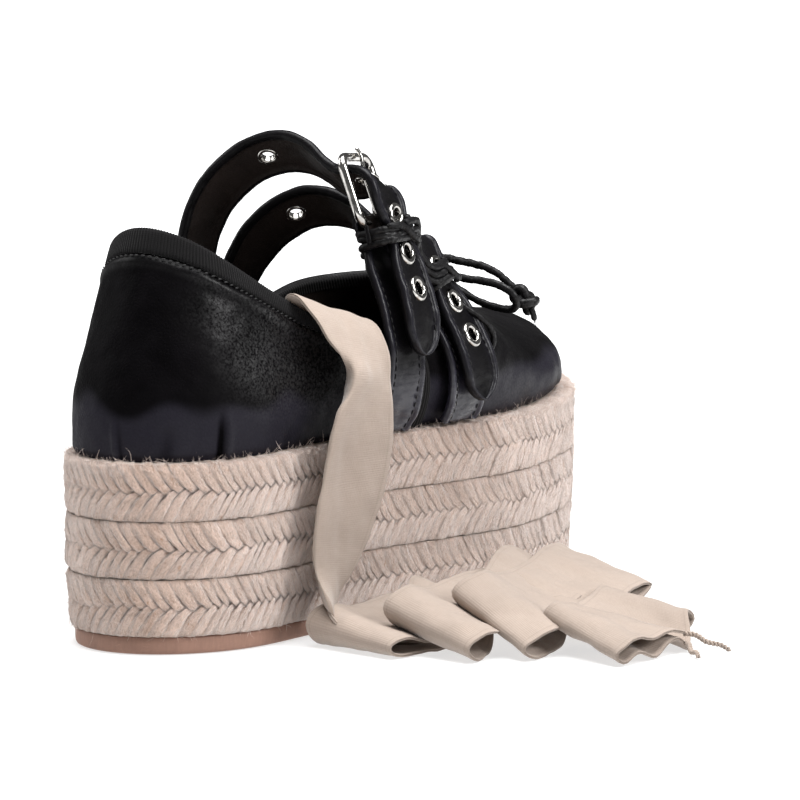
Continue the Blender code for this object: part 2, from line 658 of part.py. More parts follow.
def make_keeper(side, row, tail, base):
    """Two turns of leather lace, as one grooved band, round the tail and the buckle strap."""
    centre, down, across = buckle_frame(row)
    middle = centre + down * (BUCKLE_HALF_LENGTH + KEEPER_DROP)
    at_tail = nearest_crossing(tail, middle, down)
    at_base = nearest_crossing(base, middle, down)
    frames = [tail.frame(np.array([at_tail])), base.frame(np.array([at_base]))]
    points = [frame[0][0] for frame in frames]
    way = frames[1][1][0] - frames[0][1][0]
    way /= np.linalg.norm(way)
    wide = frames[0][2][0] + frames[1][2][0]
    wide -= wide @ way * way
    wide /= np.linalg.norm(wide)
    thick = np.cross(wide, way)
    between = points[0] - points[1]
    half_wide = STRAP_WIDTH / 2 + abs(between @ wide) / 2 + LACE_FLAT / 2 + PIECE_GAP
    half_thick = abs(between @ thick) / 2 + STRAP_BEAD + LACE_FLAT / 2 + KEEPER_SLACK
    path = rounded_rectangle((points[0] + points[1]) / 2, thick, wide, half_thick, half_wide, 3.4)
    outward = path - (points[0] + points[1]) / 2
    ahead = np.roll(path, -1, axis=0) - np.roll(path, 1, axis=0)
    side_way = np.cross(ahead, way)
    side_way /= np.linalg.norm(side_way, axis=1)[:, None]
    side_way *= np.sign(np.sum(side_way * outward, axis=1))[:, None]
    u, v = LACE_FLAT / 2, LACE
    section = ((u, -v * 0.55), (u * 0.3, 0.0), (u, v * 0.55), (0.2 * u, v), (-u, v * 0.7), (-u, -v * 0.7),
               (0.2 * u, -v))
    rings = [np.array([point + out * a + way * b for a, b in section]) for point, out in zip(path, side_way)]
    add_mesh(f"keeper_{side}", *loft(rings, closed=True), CORD, 50)


def smooth_line(rows, count):
    """Even points on the spline through rows of x, y, z."""
    rows = np.array(rows, float)
    chord = np.concatenate([[0], np.cumsum(np.linalg.norm(np.diff(rows, axis=0), axis=1))])
    fine = np.linspace(0, chord[-1], 600)
    points = np.stack([spline(chord, rows[:, k], fine) for k in range(3)], axis=1)
    run = np.concatenate([[0], np.cumsum(np.linalg.norm(np.diff(points, axis=0), axis=1))])
    even = np.linspace(0, run[-1], count)
    return np.stack([np.interp(even, run, points[:, k]) for k in range(3)], axis=1)


def sweep(points, radii, sides=8):
    """Rings of the given radii along a path, without twist."""
    along = np.gradient(points, axis=0)
    along /= np.linalg.norm(along, axis=1)[:, None]
    across = np.cross(along[0], (0.0, 0.0, 1.0))
    rings = []
    for point, way, radius in zip(points, along, radii):
        across = across - across @ way * way
        across /= np.linalg.norm(across)
        other = np.cross(way, across)
        turns = np.linspace(0, 2 * np.pi, sides, endpoint=False)
        rings.append(point + radius * (np.cos(turns)[:, None] * across + np.sin(turns)[:, None] * other))
    return rings


def make_bow():
    """The knot on the vamp, two loops and two tails that end in a small knot of their own."""
    work = bmesh.new()
    bmesh.ops.create_uvsphere(work, u_segments=12, v_segments=8, radius=1.0)
    mesh = bpy.data.meshes.new("bow_knot")
    for vertex in work.verts:
        x, y, z = vertex.co
        vertex.co = (np.array([x * 6.2, y * 4.4, z * 3.8]) + KNOT_AT - HEEL_SEAT) * MM
    work.to_mesh(mesh)
    work.free()
    shade(mesh, 60)
    mesh.materials.append(CORD)
    PARTS.objects.link(bpy.data.objects.new("bow_knot", mesh))
    for name, rows in (("bow_loop_outer", OUTER_LOOP), ("bow_loop_inner", INNER_LOOP)):
        tube(name, smooth_line(rows, 17), LACE / 2, CORD)
    for name, rows in (("bow_tail_outer", OUTER_TAIL), ("bow_tail_inner", INNER_TAIL)):
        points = smooth_line(rows, 15)
        radii = [LACE / 2] * 9 + [2.3, 2.9, 2.9, 2.0, 1.3, 1.6]
        add_mesh(name, *loft(sweep(points, radii)), CORD, 60)


def make_ribbon():
    """The hanging band of the tie, and the folded heap that it ends in."""
    rows = np.array(RIBBON_BAND, float)
    chord = np.concatenate([[0], np.cumsum(np.linalg.norm(np.diff(rows[:, :3], axis=0), axis=1))])
    fine = np.linspace(0, chord[-1], 30)
    centre = np.stack([spline(chord, rows[:, k], fine) for k in range(3)], axis=1)
    heading = np.radians(np.interp(fine, chord, rows[:, 3]))
    rise = np.interp(fine, chord, rows[:, 4])
    width = np.interp(fine, chord, rows[:, 5])
    along = np.gradient(centre, axis=0)
    rings = []
    for k in range(len(fine)):
        across = np.array([np.cos(heading[k]), np.sin(heading[k]), rise[k]])
        across /= np.linalg.norm(across)
        out = np.cross(along[k], across)
        out /= np.linalg.norm(out)
        corner = [(0.5, 0.5), (-0.5, 0.5), (-0.5, -0.5), (0.5, -0.5)]
        rings.append(np.array([centre[k] + across * a * width[k] + out * b * RIBBON_THICK
                               for a, b in corner]))
    add_mesh("ribbon_tie", *loft(rings), RIBBON, 60)
    rings = []
    for y, left, right, height in RIBBON_HEAP:
        middle, half = (left + right) / 2, (right - left) / 2
        turns = np.linspace(0, np.pi, 9)
        over = [(middle - half * np.sign(np.cos(t)) * abs(np.cos(t)) ** 0.6, height * np.sin(t) ** 0.5)
                for t in turns]
        over = [(x, max(z, 0.0)) for x, z in over]
        under = [(x, 0.0) for x in np.linspace(right, left, 9)[1:-1]]
        rings.append(np.array([(x, y, z) for x, z in over + under]))
    add_mesh("ribbon_pile", *loft(rings), RIBBON, 50)


def material(name, colour, roughness, metallic=0.0):
    slot = bpy.data.materials.new(name)
    slot.use_nodes = True
    shader = slot.node_tree.nodes["Principled BSDF"]
    shader.inputs["Base Color"].default_value = (*colour, 1)
    shader.inputs["Roughness"].default_value = roughness
    shader.inputs["Metallic"].default_value = metallic
    return slot


def new_collection(name):
    collection = bpy.data.collections.new(name)
    bpy.context.scene.collection.children.link(collection)
    return collection


for old in list(bpy.data.objects):
    bpy.data.objects.remove(old)
PARTS = new_collection("platform_espadrille_flat")
CUTTERS = new_collection("cutters")
NAPPA = material("nappa", (0.012, 0.012, 0.013), 0.42)
GROSGRAIN = material("grosgrain", (0.014, 0.014, 0.015), 0.8)
CORD = material("cord", (0.012, 0.011, 0.011), 0.45)
LINING = material("lining", (0.05, 0.035, 0.025), 0.6)
JUTE = material("jute", (0.60, 0.47, 0.35), 0.9)
RUBBER = material("rubber", (0.17, 0.09, 0.05), 0.7)
NICKEL = material("nickel", (0.75, 0.74, 0.72), 0.15, 1.0)
RIBBON = material("ribbon", (0.68, 0.56, 0.44), 0.8)

make_sole()
make_insole()
make_upper()
make_binding()
for side, long_rows, short_rows, buckle in (("rear", REAR_STRAP, REAR_BASE, REAR_BUCKLE),
                                            ("front", FRONT_STRAP, FRONT_BASE, FRONT_BUCKLE)):
    tail, strap = strap_solid(f"strap_{side}", long_rows, 7.0, True)
    base, _ = strap_solid(f"strap_base_{side}", short_rows, 8.0, False)
    prong_hole = make_buckle(side, buckle, tail)
    holes = [tail.length - FIRST_HOLE - HOLE_PITCH * k for k in range(HOLES)]
    pierce(strap, tail, holes, EYELET_HOLE)
    pierce(strap, tail, [prong_hole], PRONG_HOLE)
    for number, hole in enumerate(holes):
        make_eyelet(f"eyelet_{side}_{number + 1}", tail, hole)
    make_keeper(side, buckle, tail, base)
make_bow()
make_ribbon()
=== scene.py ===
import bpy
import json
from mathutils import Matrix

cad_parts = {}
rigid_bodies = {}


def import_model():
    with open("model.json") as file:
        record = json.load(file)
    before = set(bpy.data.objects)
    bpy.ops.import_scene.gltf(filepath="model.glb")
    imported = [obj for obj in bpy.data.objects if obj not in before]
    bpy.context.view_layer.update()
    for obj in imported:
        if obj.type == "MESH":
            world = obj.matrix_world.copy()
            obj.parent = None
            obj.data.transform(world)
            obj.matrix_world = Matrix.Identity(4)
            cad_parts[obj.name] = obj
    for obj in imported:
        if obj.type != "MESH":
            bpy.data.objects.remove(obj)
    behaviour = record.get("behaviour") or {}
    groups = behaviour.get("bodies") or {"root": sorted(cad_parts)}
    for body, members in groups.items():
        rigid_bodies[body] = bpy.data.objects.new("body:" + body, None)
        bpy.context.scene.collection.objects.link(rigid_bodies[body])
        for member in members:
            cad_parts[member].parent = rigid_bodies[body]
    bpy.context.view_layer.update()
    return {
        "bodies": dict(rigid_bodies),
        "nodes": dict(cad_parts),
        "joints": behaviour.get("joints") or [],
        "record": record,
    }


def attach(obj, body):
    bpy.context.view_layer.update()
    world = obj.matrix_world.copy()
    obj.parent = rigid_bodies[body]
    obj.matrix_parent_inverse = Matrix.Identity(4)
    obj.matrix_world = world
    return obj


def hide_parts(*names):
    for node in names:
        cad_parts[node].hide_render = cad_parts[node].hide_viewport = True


bl_info = {
    "name": "Platform Espadrille Flat",
    "version": (1, 0, 0),
    "blender": (4, 5, 0),
    "location": "View3D > Sidebar > Shoe",
    "description": "Dresses a rope-soled ballet flat with leather, jute, metal and tape",
    "category": "Add Mesh",
}

import json

import bmesh
import bpy
import numpy as np
from mathutils import Vector

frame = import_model()

# Tables are in millimetres with y from the heel's back edge; meshes are in metres about the heel seat.
MM = 0.001
HEEL_SEAT = np.array([0, 35, 0])
TURN = 2 * np.pi

# The camera and the lights, in metres about the heel seat.
CAMERA_AT = (1.6436, -2.1638, 0.4382)
CAMERA_AIM = (0.0268, 0.0912, 0.0707)
CAMERA_LENS, CAMERA_SENSOR = 382, 36  # millimetres
CAMERA_FAR = 60           # furthest point it sees
FLOOR_REACH, FLOOR_LINES, FLOOR_HEIGHT = 9, 13, -0.0002
SKY = 0.13                # brightness of the room round the shoe
FLOOR_GLOW = (0.63, 1)    # light that the floor gives of its own under the shoe and far from it
# name | place | aim | size | watts
LIGHTS = (
    ("key", (2.1, 0.5, 1.4), (0, 0.1, 0.08), (1.1, 1.1), 50),
    ("fill", (-2, -0.5, 1.2), (0, 0.1, 0.08), (1.4, 1.2), 25),
    ("top", (0.2, 0, 2.3), (0, 0.1, 0), (1.8, 1.8), 104),
)

LENGTH = 249              # rope sole, heel to toe
OUTSOLE_THICK = 5.8
COURSE_PITCH = 18.75      # height of one rope course
COURSES = 3
SOLE_TOP = OUTSOLE_THICK + COURSES * COURSE_PITCH
ROPE_ROUND = 2.6          # how far a course's side rounds in at its seams
HEEL_TAPER = 2.3          # the sole draws in this much towards the ground
TOE_SPRING = 6.2          # lift of the toe's tip
SPRING_START = 0.66       # share of the length where the lift begins
GAP = 0.3                 # running gap between pieces that touch
WALL = 1.8                # leather and lining of the upper
TOE_TIP_X = -5.7          # the toe's tip leans to the inner side

# share of length | half width, outer side | half width, inner side
SOLE_WIDTHS = (
    (0.04, 22.5, 23),
    (0.15, 35.5, 32.8),
    (0.3, 35.3, 30.5),
    (0.45, 36.2, 29),
    (0.58, 41.5, 33),
    (0.68, 43.2, 38.5),
    (0.78, 40, 41),
    (0.88, 32.3, 38.3),
    (0.96, 14.5, 29),
)

# One row for each rib of the upper, from the sole up to the top line.
# share of length | top line x | y | height over the sole | lower handle out | up | upper handle out | down
OUTER_RIBS = (
    (0.04, 13.5, 25, 71, 2, 22, 6, 24),
    (0.15, 24, 37, 62, 3, 20, 5.5, 20),
    (0.3, 30.5, 70, 43.5, 4, 14, 4, 13),
    (0.45, 36, 103, 32, 8, 11, 5, 10),
    (0.58, 36.5, 130, 31, 6.5, 13, 5, 9),
    (0.7, 30.5, 153, 37.5, 5, 18, 9, 8),
    (0.8, 20, 166, 39.5, 7.2, 17.5, 12.1, 14.7),
    (0.9, 8, 172.5, 43.2, 9.8, 21.1, 17.9, 21.2),
)
INNER_RIBS = (
    (0.04, -13, 25, 69.5, 2, 22, 6, 24),
    (0.15, -23, 38, 59, 3, 20, 5.5, 20),
    (0.3, -29, 70, 44, 3, 14, 3, 13),
    (0.45, -31, 103, 37.5, 4.5, 13, 3, 10),
    (0.58, -32, 128, 37.5, 4.5, 14, 4, 8),
    (0.7, -31, 146, 41.5, 4, 18, 7, 9),
    (0.8, -26, 160, 43.2, 4, 20, 13, 14),
    (0.9, -18, 170, 43.9, 5, 22, 21, 21),
)
HEEL_RIB = (0, 0.5, 21, 73.5, 1.5, 22, 6, 24)
TOE_RIB = (1, -6, 174, 43.4, 3.7, 35.5, 24.8, 25.4)
# share of length | inset from the rope's side
FEATHER_INSET = ((0, 2.8), (0.3, 3.4), (0.6, 4.8), (1, 6.5))

STRAP_WIDTH = 19.6
STRAP_WEB = 1.6           # flat leather between the two piped edges
STRAP_BEAD = 1.4          # radius of a piped edge
BUCKLE_HALF_LENGTH = 11.5
BUCKLE_BAR = 1.5          # radius of the buckle frame's wire
BUCKLE_SLACK = 1.1        # room beside the strap in the frame
PRONG_CLEAR = 0.5         # the prong's ends over the frame's bars
PRONG_BAR = 1
LAST_HOLE = 104           # from the tip to the eyelet that shows under the strap
EYELET_RADIUS = 4.4
EYELET_HOLE = 2.5
EYELET_DOME = 0.8
LACE = 2.4                # diameter of the leather lace
INSOLE_THICK = 2.5

# share of length | depth of the grosgrain binding down the wall
BINDING_DEPTH = ((0, 8), (0.15, 7), (0.35, 4.2), (0.6, 3), (1, 3))

# The long straps from the sole on the inner side, over the instep, to the tail's tip.
# x | y | z | tilt, degrees, front edge lower | yaw, degrees, front edge outward
REAR_STRAP = (
    (-29.5, 95, 63.9, 0, 0), (-33.8, 95.5, 74, 0, 0),
    (-35.8, 96, 88, 2, 0), (-36, 96, 104, 8, 0),
    (-34.5, 96.5, 120, 20, 0), (-30.5, 98, 133.5, 32, 0), (-22.5, 101, 144.5, 40, 0),
    (-12, 104.5, 151.3, 44, 0), (-2, 107, 152.8, 46, 0), (6, 108, 150.2, 44, 0),
    (13, 108.2, 146, 41, 0), (19.5, 108, 144, 36, 0), (25.5, 108, 145.2, 31, 0),
    (30.6, 108, 144.4, 27, -1), (34.4, 109, 138.5, 22, -2), (36.6, 110.6, 130, 17, -3),
    (39.4, 111.8, 120, 12, -4), (43.4, 112.2, 109, 8, -4),
    (46.4, 111.6, 98.5, 4, -4), (47.4, 111, 88.5, 2, -4),
)
FRONT_STRAP = (
    (-28, 116, 63.9, 0, -5), (-33, 116, 73, 0, -5),
    (-35.3, 116, 84, 2, -5), (-35.4, 116, 95, 7, -4),
    (-33, 116.5, 106, 18, -2), (-27.5, 117.5, 117, 30, 0), (-18, 120, 127.5, 40, 0),
    (-7, 123.6, 133, 44, 0), (2, 126.3, 132.6, 44, 0), (10, 129, 128.8, 40, 0),
    (16.5, 131, 125.5, 35, 0), (22.5, 132.3, 125.7, 31, 0), (27.6, 133.4, 124.8, 27, -1),
    (31.4, 134.8, 119.5, 22, -2), (34.4, 136.6, 112, 17, -3), (38.4, 139, 103, 12, -3),
    (43.2, 141, 93.5, 7, -3), (47.2, 142.2, 83.5, 3, -3), (48.8, 142.6, 70.5, 0, -3),
)
# The short buckle straps from the sole on the outer side to the buckle's lower bar.
REAR_BASE = (
    (35.6, 107, 63.9, 0, 9), (39.2, 107, 69, 0, 8),
    (42, 107, 77.5, 0, 4), (43, 107.2, 88, 1, 0),
    (41.2, 107.6, 98, 4, 0), (37, 107.8, 109, 10, 0),
    (32.2, 107.6, 119, 15, 0), (29.4, 107.2, 127.2, 18, 0),
)
FRONT_BASE = (
    (40.2, 140.6, 63.9, 0, 0), (42.6, 140.6, 68.5, 0, 0),
    (43.9, 140.2, 75.5, 0, 0), (43.8, 139.4, 84, 3, 0),
    (39.8, 138, 93, 8, 0), (34.2, 136.4, 102, 14, 0), (29.2, 135, 108.4, 18, 0),
)
# The buckle frames: centre x | y | z | lean of the side bars from upright | tilt of the end bars, degrees
REAR_BUCKLE = (25.4, 107.9, 141.6, 22, 17)
FRONT_BUCKLE = (21.7, 132.6, 123.3, 26, 19)
FIRST_HOLE = 22           # from the tail's tip
HOLE_PITCH = 12.5
HOLES = 3                 # holes in the tail, apart from the prong's own
KEEPER_DROP = 5           # from the buckle's lower bar to the middle of the keeper

# The bow: knot, then x | y | z along each loop and tail
KNOT_AT = np.array([-6, 174, 109.8])
OUTER_LOOP = (
    (0.2, 172.4, 111.4), (6, 171.8, 110.4), (15.6, 173, 106.8),
    (26.5, 174, 105.6), (34, 174.5, 104.2),
    (38.6, 175.5, 100.8), (37.4, 177.4, 97.4), (31, 178.6, 96.2),
    (22, 178.4, 98), (12, 177.6, 102.8),
    (5, 176.6, 107), (0.6, 175.8, 108.8),
)
INNER_LOOP = (
    (-12, 172.4, 111.2), (-17.6, 174.6, 111), (-23.5, 179.5, 109.2),
    (-29, 186, 106), (-33.8, 193, 101.4),
    (-36.6, 199.6, 95.8), (-35.8, 204.4, 91.8), (-32, 204.8, 91.4),
    (-27.4, 199.4, 95), (-23.4, 192.4, 99.6), (-19.6, 185.4, 103.6),
    (-15.8, 179.4, 107.2), (-12.5, 175.4, 109),
)
OUTER_TAIL = (
    (-0.4, 177, 111.6), (6, 178.6, 111.8), (13.4, 179, 111),
    (24.2, 180, 109.2), (30.2, 182, 105.4),
    (35, 184, 100.2), (39, 185.5, 96.4), (42, 187, 91),
)
INNER_TAIL = (
    (-11.4, 177.8, 110.2), (-11, 183, 108.6), (-10.8, 189, 105),
    (-12, 196, 101), (-15, 202, 97.6),
    (-19, 207.6, 94.4),
)

STRAND_PITCH = 4.1        # one strand of the braid, round the sole
STRAND_DEPTH = 0.85       # depth of the gap between strands at the braid's middle
RIB_PITCH = 1.05          # one rib of the grosgrain
STITCH = 2.6              # one sewing stitch of the straps
RIM_STITCH = 2.2          # one stitch below the binding
VAMP_START, VAMP_FULL = 96, 106  # y where the piped leather edge of the vamp takes over from the binding
VAMP_EDGE = 3.4           # depth of that leather edge
INSIDE_EDGE = 6.5         # least depth of the binding on the inside
PINCH_SHARE, PINCH_REACH = 0.34, 7  # how the lace draws a strap in: share of its width, and length
FIBRE_FLOOR = 0.15        # loose fibres keep this far over the floor
FOLD_RADIUS = 2.45        # middle of a base strap where it turns round the buckle's bar
STRAP_TIP = 13            # length over which a strap narrows to its blunt point
BEAD_POINTS = 9           # points round each bead of a strap
TREAD_RINGS = 46          # rings of points across the tread
TAPE_STEPS = 547          # stations along the tie

# Folds gathered up from the rope: angle round the shoe, degrees | lean per 10 mm of height | reach |
# width, degrees | depth
GATHERS = (
    (3.5, -1.6, 18, 1, 0.7), (36, 0.3, 19, 1.1, -1.7), (20, 0.8, 14, 2.4, -0.4),
    (-24, -0.6, 15, 2, -0.7), (56, 0.5, 12, 2, -0.4), (-60, 0.6, 12, 2.4, -0.5),
    (120, 0.4, 12, 2.6, -0.4), (138, -0.5, 15, 2.2, -0.6), (152, 0.4, 17, 2.4, -0.7),
    (166, -0.4, 18, 2.6, -0.8), (181, 0.3, 19, 2.6, -0.8), (196, 0.5, 18, 2.4, -0.7),
    (210, -0.4, 16, 2.4, -0.7), (226, 0.4, 13, 2.4, -0.6), (243, -0.4, 12, 2.6, -0.5),
)

FOLD_SHARE = 0.62         # share of the tie's width where its hanging part folds
TAPE_THICK = 0.9
# The tie from inside the shoe to the floor: x | y | z of its front selvedge, of its rear selvedge and, where it is
# folded lengthwise, of the fold
TAPE_BAND = (
    (28.8, 96, 78.8, 24.4, 64, 85.2), (29.5, 95.9, 87.8, 25.1, 64.9, 98.2), (30.3, 93.6, 95.5, 26.5, 63, 106.8),
    (33, 92.8, 100.2, 28.4, 61.6, 111.4), (37.4, 92.5, 101.4, 31.6, 61.2, 112),
    (41.4, 92.2, 99.6, 35.3, 62, 109), (44.4, 92, 96, 39.8, 63, 103.6), (46.4, 92, 91.4, 43.3, 64.5, 97.4),
    (47, 92, 87, 45.3, 68, 92.6, 47.6, 72.4, 90.6), (47, 92, 83, 45, 72, 87, 50, 70.2, 86.4),
    (47.3, 92.3, 79, 42.8, 74, 82, 50.2, 67.2, 81.4), (47.5, 92.8, 72, 41.8, 75, 75, 49, 62.2, 75.5),
    (47.6, 93, 66, 41.5, 74, 66, 47.8, 59.6, 67), (47, 92, 56.6, 41.5, 72, 56, 47, 57.5, 57.6),
    (46.6, 89, 46.4, 41.5, 68, 45.5, 46.4, 54.6, 46), (46, 81, 31.4, 41.8, 64, 33, 45.9, 52.6, 34),
    (45.5, 73, 21.7, 43, 60, 24, 47, 52, 23.8), (44.1, 66.5, 11.8, 48, 54, 15, 53.4, 50.4, 14.4),
    (41.5, 74, 4.6, 57, 49.5, 8.6, 52, 56, 7),
)
# Its folds on the floor: x | y | z of the selvedge nearer the rope, then of the other
TAPE_FOLDS = (
    (42, 86, 1.4, 67, 62, 1.6), (46, 84, 0.8, 82, 76, 0.8), (47.4, 72, 0.8, 84.6, 66, 0.8),
    (46.6, 62, 0.8, 83.4, 56, 0.8), (44.6, 53.5, 2.2, 82.2, 46.6, 1.4), (43.6, 51.2, 7, 81.4, 44.6, 3.6),
    (45, 55, 12, 82.4, 48.4, 6), (46, 68, 11, 83.4, 61, 4.2), (46.8, 86, 11.6, 84.2, 79, 4.2),
    (48, 103, 13, 85.2, 97, 6.4), (48.6, 108.6, 14.6, 85.6, 102.6, 8), (49.6, 104, 16.4, 86.4, 98, 9.4),
    (56, 90, 14.8, 94, 84, 4.6), (61, 80, 12.2, 100, 74, 1), (66, 70, 9.8, 104.6, 64, 0.8),
    (70, 60.6, 9.6, 107, 54.6, 1.6),
    (69.2, 58.2, 14, 106.6, 52.4, 4.6), (70.6, 62, 18.4, 107.8, 56, 7.8), (68, 80, 17.6, 105, 74, 7),
    (63, 108, 17.8, 100, 102, 8.2), (57, 146, 18.6, 94, 139, 9.4), (56, 151.6, 20.2, 93, 144.6, 10),
    (57.6, 147, 22, 94.6, 140, 10.8), (66, 122, 20.6, 103.4, 114, 8.6), (74, 104, 17.4, 113, 96, 1.4),
    (80, 92, 14.6, 117.4, 82, 0.8),
    (83.4, 80.6, 13.4, 119.4, 68.8, 1.4), (82.4, 77.8, 17.4, 118.8, 66, 4), (84, 82, 21.2, 120.2, 70.2, 7),
    (80, 104, 20.4, 116.6, 96, 7.4), (71, 138, 20, 108.6, 132, 8.6), (61.6, 167, 20.6, 100.4, 161.6, 11.6),
    (60, 172.6, 19, 99.2, 167.4, 10.6), (62, 166, 17, 101, 161, 8.4), (74, 136, 15.6, 112, 130, 5.4),
    (88, 116, 10, 124, 108, 2.2), (91.6, 110, 8.6, 128, 100, 2), (92.6, 112.6, 10.6, 129, 103, 3.6),
    (97, 130, 9.4, 132.4, 128, 2.8), (99, 138.6, 9.8, 134, 137.6, 3.4), (99.4, 140.6, 11.8, 134.4, 139.6, 5.8),
    (100.4, 138, 13.6, 135, 136.8, 8.4), (104, 126, 12.8, 142, 126, 5.7), (108, 112, 11.8, 148.6, 114.5, 0.9),
    (110, 106, 11.2, 149, 111, 4.1), (111, 102, 10.8, 149, 104.4, 4.6), (111.6, 98.6, 10.4, 149.2, 100, 2.4),
    (112.2, 95.4, 10, 149.6, 94.4, 0.8), (112.8, 92.4, 9.6, 149.4, 86, 3.4), (113.4, 88.6, 9, 149.4, 77.5, 1),
    (112.4, 86, 12, 148.6, 74.4, 3.4), (113.8, 89, 15.2, 149.8, 77.6, 6.4), (113.6, 93, 15, 149.6, 87, 8),
    (113.2, 95.6, 14.6, 149.2, 94, 6.6), (113, 98, 14.3, 149, 102.5, 7.7), (113, 100.4, 14, 149.2, 113.7, 5.8),
)
# Threads drawn out of its cut end: x | y | z
TAPE_THREADS = (
    ((149, 112.6, 6), (152.4, 114.6, 5.4), (156, 115, 3.6), (159.4, 117.6, 2.6), (162.6, 118.4, 1)),
    ((148.8, 113.6, 2.4), (152, 110.8, 2.8), (155.4, 107, 1.4), (159, 104.4, 1.8), (161.4, 102, 0.9)),
)
# A strand of lace from the front keeper down onto the vamp: x | y | z
VAMP_STRAND = (
    (39, 145, 101), (43.2, 150, 96.4), (43.9, 154.4, 92), (43.6, 155.4, 87), (42.4, 152.6, 84),
    (40.6, 148, 82),
)


# ---- curves


def unit(vectors):
    """Vectors drawn to length 1."""
    return vectors / np.linalg.norm(vectors, axis=-1, keepdims=True)


def square_to(vectors, way):
    """Vectors without their share along a unit way."""
    return vectors - np.sum(vectors * way, axis=-1, keepdims=True) * way


def spline(knots, values, query, closed=False):
    """Cubic spline through the values, read at query: straight at its two ends, or joined to its start after a turn."""
    knots, values, count = np.asarray(knots, float), np.asarray(values, float), len(knots)
    step = np.diff(np.append(knots, knots[0] + TURN) if closed else knots)
    matrix, right = np.zeros((count, count)), np.zeros(count)
    matrix[0, 0] = matrix[-1, -1] = 0 if closed else 1
    for i in range(count) if closed else range(1, count - 1):
        before, after, ahead = step[i - 1], step[i], (i + 1) % count
        matrix[i, [i - 1, i, ahead]] += before, 2 * (before + after), after
        right[i] = 6 * ((values[ahead] - values[i]) / after - (values[i] - values[i - 1]) / before)
    bend = np.linalg.solve(matrix, right)
    if closed:
        query = (np.asarray(query, float) - knots[0]) % TURN + knots[0]
    k = np.clip(np.searchsorted(knots, query, side="right") - 1, 0, len(step) - 1)
    after, left, width = (k + 1) % count, query - knots[k], step[k]
    rest = width - left
    return ((bend[k] * rest ** 3 + bend[after] * left ** 3) / (6 * width)
            + (values[k] / width - bend[k] * width / 6) * rest
            + (values[after] / width - bend[after] * width / 6) * left)


def circle(count):
    """Even angles round one turn, the end left out."""
    return np.linspace(0, TURN, count, endpoint=False)


def looped(path):
    """A closed path with its first point again at its end."""
    return np.concatenate([path, path[:1]])


def run_of(path):
    """Length along a path at each of its points."""
    return np.concatenate([[0], np.cumsum(np.linalg.norm(np.diff(path, axis=0), axis=1))])


def points_at(at, run, points):
    """Points read off a line at lengths along it."""
    return np.stack([np.interp(at, run, column) for column in points.T], axis=-1)


def spline_points(knots, rows, fine):
    """Points of the spline through rows of x, y, z, ..."""
    return np.stack([spline(knots, rows[:, k], fine) for k in range(3)], axis=1)


def turn_angle(share):
    """Angle round the shoe of a station: 0 at the heel, pi at the toe."""
    return np.arccos(1 - 2 * np.asarray(share, float))


def plan_normals(points):
    """Outward unit normals of a closed plan curve that runs from heel over +X to the toe."""
    along = np.roll(points, -1, axis=0) - np.roll(points, 1, axis=0)
    return unit(np.stack([along[:, 1], -along[:, 0]], axis=1))


def down_length(table, angles):
    """A table of share of the shoe's length and value, read at angles round the shoe."""
    share, value = np.array(table).T
    return np.interp((1 - np.cos(angles)) / 2, share, value)


def sole_outline(angles, inset=0):
    """Plan of the rope sole at the given angles, drawn in by inset."""
    fine = circle(1440)
    share, outer, inner = np.array(SOLE_WIDTHS).T
    knots = np.concatenate([[0], turn_angle(share), [np.pi], TURN - turn_angle(share)[::-1]])
    sides = np.concatenate([[0], outer, [TOE_TIP_X], -inner[::-1]])
    plan = np.stack([spline(knots, sides, fine, closed=True), LENGTH / 2 * (1 - np.cos(fine))], axis=1)
    depth = np.full(len(fine), inset) if np.isscalar(inset) else np.interp(fine, angles, inset, period=TURN)
    plan = plan - plan_normals(plan) * depth[:, None]
    return np.stack([np.interp(angles, fine, plan[:, k], period=TURN) for k in (0, 1)], axis=1)


def spring(y):
    """Lift of the sole at y: a parabola from where the toe spring starts."""
    past = np.clip((np.asarray(y) / LENGTH - SPRING_START) / (1 - SPRING_START), 0, None)
    return TOE_SPRING * past ** 2


def feather(angles):
    """The line where the upper meets the rope, as points in space."""
    plan = sole_outline(angles, down_length(FEATHER_INSET, angles))
    return np.column_stack([plan, SOLE_TOP + GAP / 2 + spring(plan[:, 1])])


def rib_values(angles):
    """The seven rib columns at the given angles."""
    rows = [HEEL_RIB, *OUTER_RIBS, TOE_RIB]
    knots = [turn_angle(row[0]) for row in rows] + [TURN - turn_angle(row[0]) for row in INNER_RIBS[::-1]]
    table = np.array(rows + list(INNER_RIBS[::-1]))
    return [spline(knots, table[:, k], angles, closed=True) for k in range(1, 8)]


def top_line(angles):
    """The upper's top line, as points in space."""
    x, y, height = rib_values(angles)[:3]
    return np.column_stack([x, y, SOLE_TOP + height])


ROUTE_STEP = 0.4


